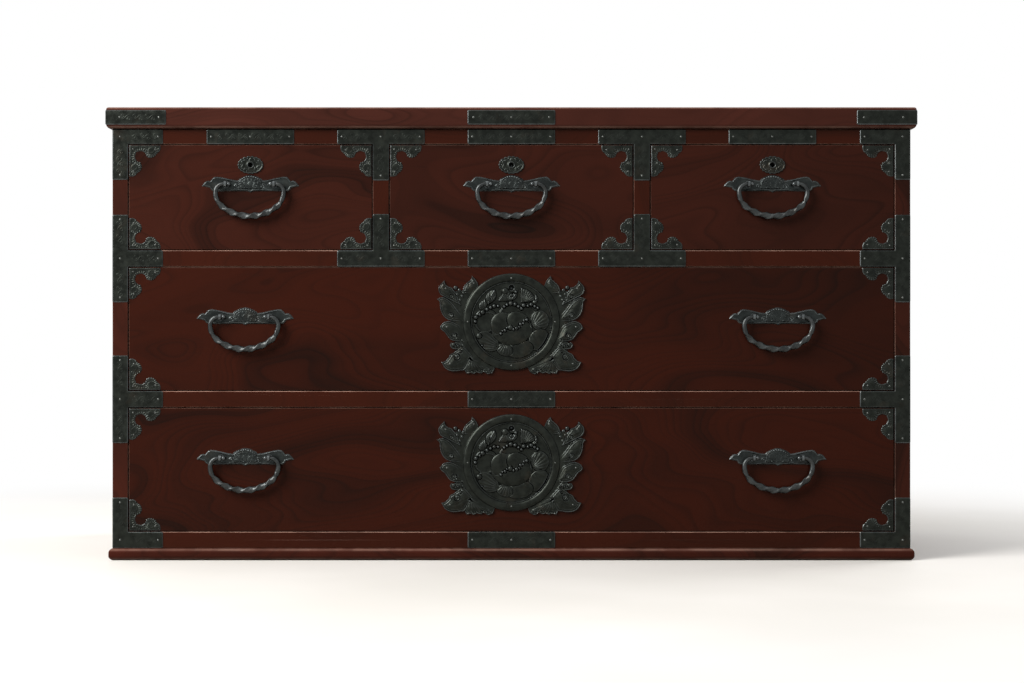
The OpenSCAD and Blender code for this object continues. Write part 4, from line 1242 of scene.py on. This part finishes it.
def locks(iron, steel, sunk=0.2):
    """A lock plate on each drawer front, and the large ones' nails, whose rims are sunk into the relief."""
    small, (wide, nail_spots) = small_lock_part(), wide_lock_part()
    for drawer in SMALL + WIDE:
        low, high = front_of(drawer)
        cx = (low[0] + high[0]) / 2
        part, cz = (small, high[2] - KEYHOLE_DROP) if drawer in SMALL else (wide, high[2] - DISC_DROP)
        body, node = f"{drawer}_drawer", f"{drawer}_lock_plate"
        if drawer in WIDE:
            nails = Mesh()
            for x, z, h in nail_spots:
                domed_nail(nails, cx + x, cz + z, FACE_Y - h + sunk)
            finish_piece(nails, f"{drawer}_lock_nails", steel, body, "bright_nails", node)
        sheet = Mesh()
        on_front(sheet, part, cx, cz, FACE_Y)
        finish_piece(sheet, f"{drawer}_lock_relief", iron, body, "black_iron", node)


# ---- finishes

# Lacquers: node, material, grain, seed of the figure, light and dark tone, strength of figure, and strength
# of the pale arris tint, which is thin paint and a painted highlight
LACQUER = [
    ("top_board", "top", GRAIN_X, 1, (70, 36, 29), (40, 21, 17), 1.0, 0.45),
    ("base_board", "base", GRAIN_X, 2, (68, 29, 21), (36, 16, 12), 1.0, 0.35),
    ("front_rails", "rails", GRAIN_X, 3, (55, 22, 13), (34, 15, 10), 0.6, 0.9),
    ("partitions", "posts", GRAIN_Z, 4, (55, 22, 13), (34, 15, 10), 0.6),
    ("side_panel_left", "side_left", GRAIN_Z, 5, (64, 29, 21), (32, 16, 12)),
    ("side_panel_right", "side_right", GRAIN_Z, 6, (64, 29, 21), (32, 16, 12)),
]
# Drawer fronts: the seed of each one's figure, and the light tones of small and wide ones; the wide ones sit
# lower and are painted darker, as painted shade
FRONT_SEEDS = (17.1, 9.0, 23.4, 12.4, 14.1)
SMALL_LIGHT = (54, 24, 17)
WIDE_LIGHT_SHADED = (50, 19, 11)


def paint_nodes(material, *nodes):
    """Gives CAD nodes their material."""
    for node in nodes:
        mesh = frame["nodes"][node].data
        mesh.materials.clear()
        mesh.materials.append(material)


def finish_wood():
    for node, name, *finish in LACQUER:
        paint_nodes(lacquered_wood(f"lacquer_{name}", *finish), node)
    for n, drawer in enumerate(SMALL + WIDE):
        # The wide fronts, lower down, take a darker tone: painted shade
        light = SMALL_LIGHT if drawer in SMALL else WIDE_LIGHT_SHADED
        front = lacquered_wood(f"lacquer_{drawer}", GRAIN_X, FRONT_SEEDS[n], light)
        paint_nodes(front, f"{drawer}_drawer_front")
        paint_nodes(bare_wood(f"bare_{drawer}", GRAIN_X, n), f"{drawer}_drawer_box")
    paint_nodes(bare_wood("bare_back", GRAIN_Z, 8, BACK_BOARD_W), "back_boards")
    paint_nodes(bare_wood("bare_inside", GRAIN_X, 9), "dust_boards", "drawer_stops")
    paint_nodes(bare_wood("bare_runners", GRAIN_Y, 10), "drawer_runners")


def finish_iron():
    iron = black_iron("black_iron")
    handle_iron = black_iron("handle_iron", 0.8, (48, 52, 51))
    # The bails and their posts get a paler copy of the black iron: its paler tone is a painted highlight on
    # the rods
    bail_iron_highlit = black_iron("bail_iron_highlit", 0.8, (68, 71, 71))
    steel = bright_steel("nail_steel")
    paint_nodes(steel, "frame_nails")
    frame_plates(iron)
    top_board_plates(iron)
    part = ornament()
    for drawer in SMALL + WIDE:
        paint_nodes(bail_iron_highlit, f"{drawer}_handle_posts")
        paint_nodes(iron, f"{drawer}_lock_case")
        paint_nodes(steel, f"{drawer}_lock_bolt")
        corner_ornaments(part, drawer, iron, steel)
    handles(handle_iron, bail_iron_highlit)
    locks(iron, steel)


# ---- camera, lights, floor

# The camera, in pixels of the photograph. SCALE_MM is the size of one at the top board's front
PHOTO_W = 1024
PHOTO_MIDDLE = (512.0, 341.5)
FOCAL_PX = 1750.0
MIDDLE_PX = 511.4
HORIZON_PX = 366.0
BASE_PX = 560.8
SCALE_MM = 1.4805
SENSOR_MM = 36.0


def camera():
    """Level camera in front, at the height and distance that the photograph shows."""
    data = bpy.data.cameras.new("camera")
    data.sensor_width = SENSOR_MM
    data.lens = FOCAL_PX / PHOTO_W * SENSOR_MM
    data.shift_y = (HORIZON_PX - PHOTO_MIDDLE[1]) / PHOTO_W
    made = in_scene("camera", data)
    across = (PHOTO_MIDDLE[0] - MIDDLE_PX) * SCALE_MM
    forwards = box_mm("top_board")[0][1] - FOCAL_PX * SCALE_MM
    height = (BASE_PX - HORIZON_PX) * SCALE_MM
    made.location = (across * MM, forwards * MM, height * MM)
    made.rotation_euler = (pi / 2, 0, 0)
    bpy.context.scene.camera = made


def softbox(name, at, look, size, power, tint=(1, 1, 1)):
    data = bpy.data.lights.new(name, "AREA")
    data.shape = "RECTANGLE"
    data.size, data.size_y = size
    data.energy = power
    data.color = tint
    made = in_scene(name, data)
    made.location = at
    made.rotation_euler = (Vector(look) - Vector(at)).to_track_quat("-Z", "Y").to_euler()


def lights():
    """A large window at the upper left, and weak light from above and from behind."""
    softbox("window", (-2.5, -1.95, 2.15), (0, 0, 0.35), (2.0, 2.0), 212, (1.0, 0.985, 0.96))
    softbox("overhead", (-0.3, -0.5, 3.2), (0, 0, 0.3), (2.4, 1.6), 22)
    softbox("far_side", (2.7, 1.5, 1.7), (0.3, 0, 0.3), (1.6, 1.6), 55)


def background_seen(tree):
    """1 for rays that show the background, to the camera or in gloss and glass; 0 for light on the object."""
    path = add(tree, "ShaderNodeLightPath").outputs
    seen = maths(tree, "MAXIMUM", path["Is Camera Ray"], path["Is Glossy Ray"])
    return maths(tree, "MAXIMUM", seen, path["Is Transmission Ray"])


def world():
    """A dim room that is brighter up on the left and behind the chest, and a white background."""
    made = bpy.data.worlds.new("room")
    bpy.context.scene.world = made
    made.use_nodes = True
    tree = made.node_tree
    tree.nodes.clear()
    looks = add(tree, "ShaderNodeTexCoord").outputs["Generated"]
    inputs = {0: looks, 1: (-0.55, 0.42, 0.72)}
    towards = add(tree, "ShaderNodeVectorMath", inputs, operation="DOT_PRODUCT").outputs["Value"]
    strength = between(tree, towards, -0.35, 1.0, 0.0, 0.7)
    room = add(tree, "ShaderNodeBackground", {"Color": (1, 1, 1, 1), "Strength": strength})
    white = add(tree, "ShaderNodeBackground", {"Color": (1, 1, 1, 1), "Strength": 1.0})
    both = {0: background_seen(tree), 1: room.outputs[0], 2: white.outputs[0]}
    shown = add(tree, "ShaderNodeMixShader", both).outputs[0]
    add(tree, "ShaderNodeOutputWorld", {0: shown})


def floor(half=12.0):
    """A pale floor that keeps the shadow near the chest and fades into the white background.

    It looks pale to the camera and in gloss, and it lights the chest as a darker floor does.
    """
    mesh = bpy.data.meshes.new("floor")
    corners = [(-half, -half, 0), (half, -half, 0), (half, half, 0), (-half, half, 0)]
    mesh.from_pydata(corners, [], [(0, 1, 2, 3)])
    made = in_scene("floor", mesh)
    material, tree, shader = new_material("pale_floor")
    mesh.materials.append(material)
    at = placed(tree, (1, 1, 0))
    away = add(tree, "ShaderNodeVectorMath", {0: at}, operation="LENGTH").outputs["Value"]
    mottle = between(tree, noise(tree, at, 2.0, 3.0, 0.5), 0.3, 0.7)
    pale = mix(tree, mottle, colour(212, 209, 204), colour(220, 217, 213))
    seen = background_seen(tree)
    dress(tree, shader, {
        "Base Color": mix(tree, seen, colour(72, 66, 58), pale),
        "Roughness": 0.6,
        "Specular IOR Level": 0.2,
    })
    glow = add(tree, "ShaderNodeEmission", {"Color": (1, 1, 1, 1), "Strength": 1.0})
    share = times(tree, between(tree, away, 0.7, 1.9), seen)
    both = {0: share, 1: shader.outputs[0], 2: glow.outputs[0]}
    shown = add(tree, "ShaderNodeMixShader", both).outputs[0]
    dress(tree, tree.nodes["Material Output"], {0: shown})


camera()
lights()
world()
floor()
finish_wood()
finish_iron()
bpy.context.scene.view_settings.view_transform = "Standard"
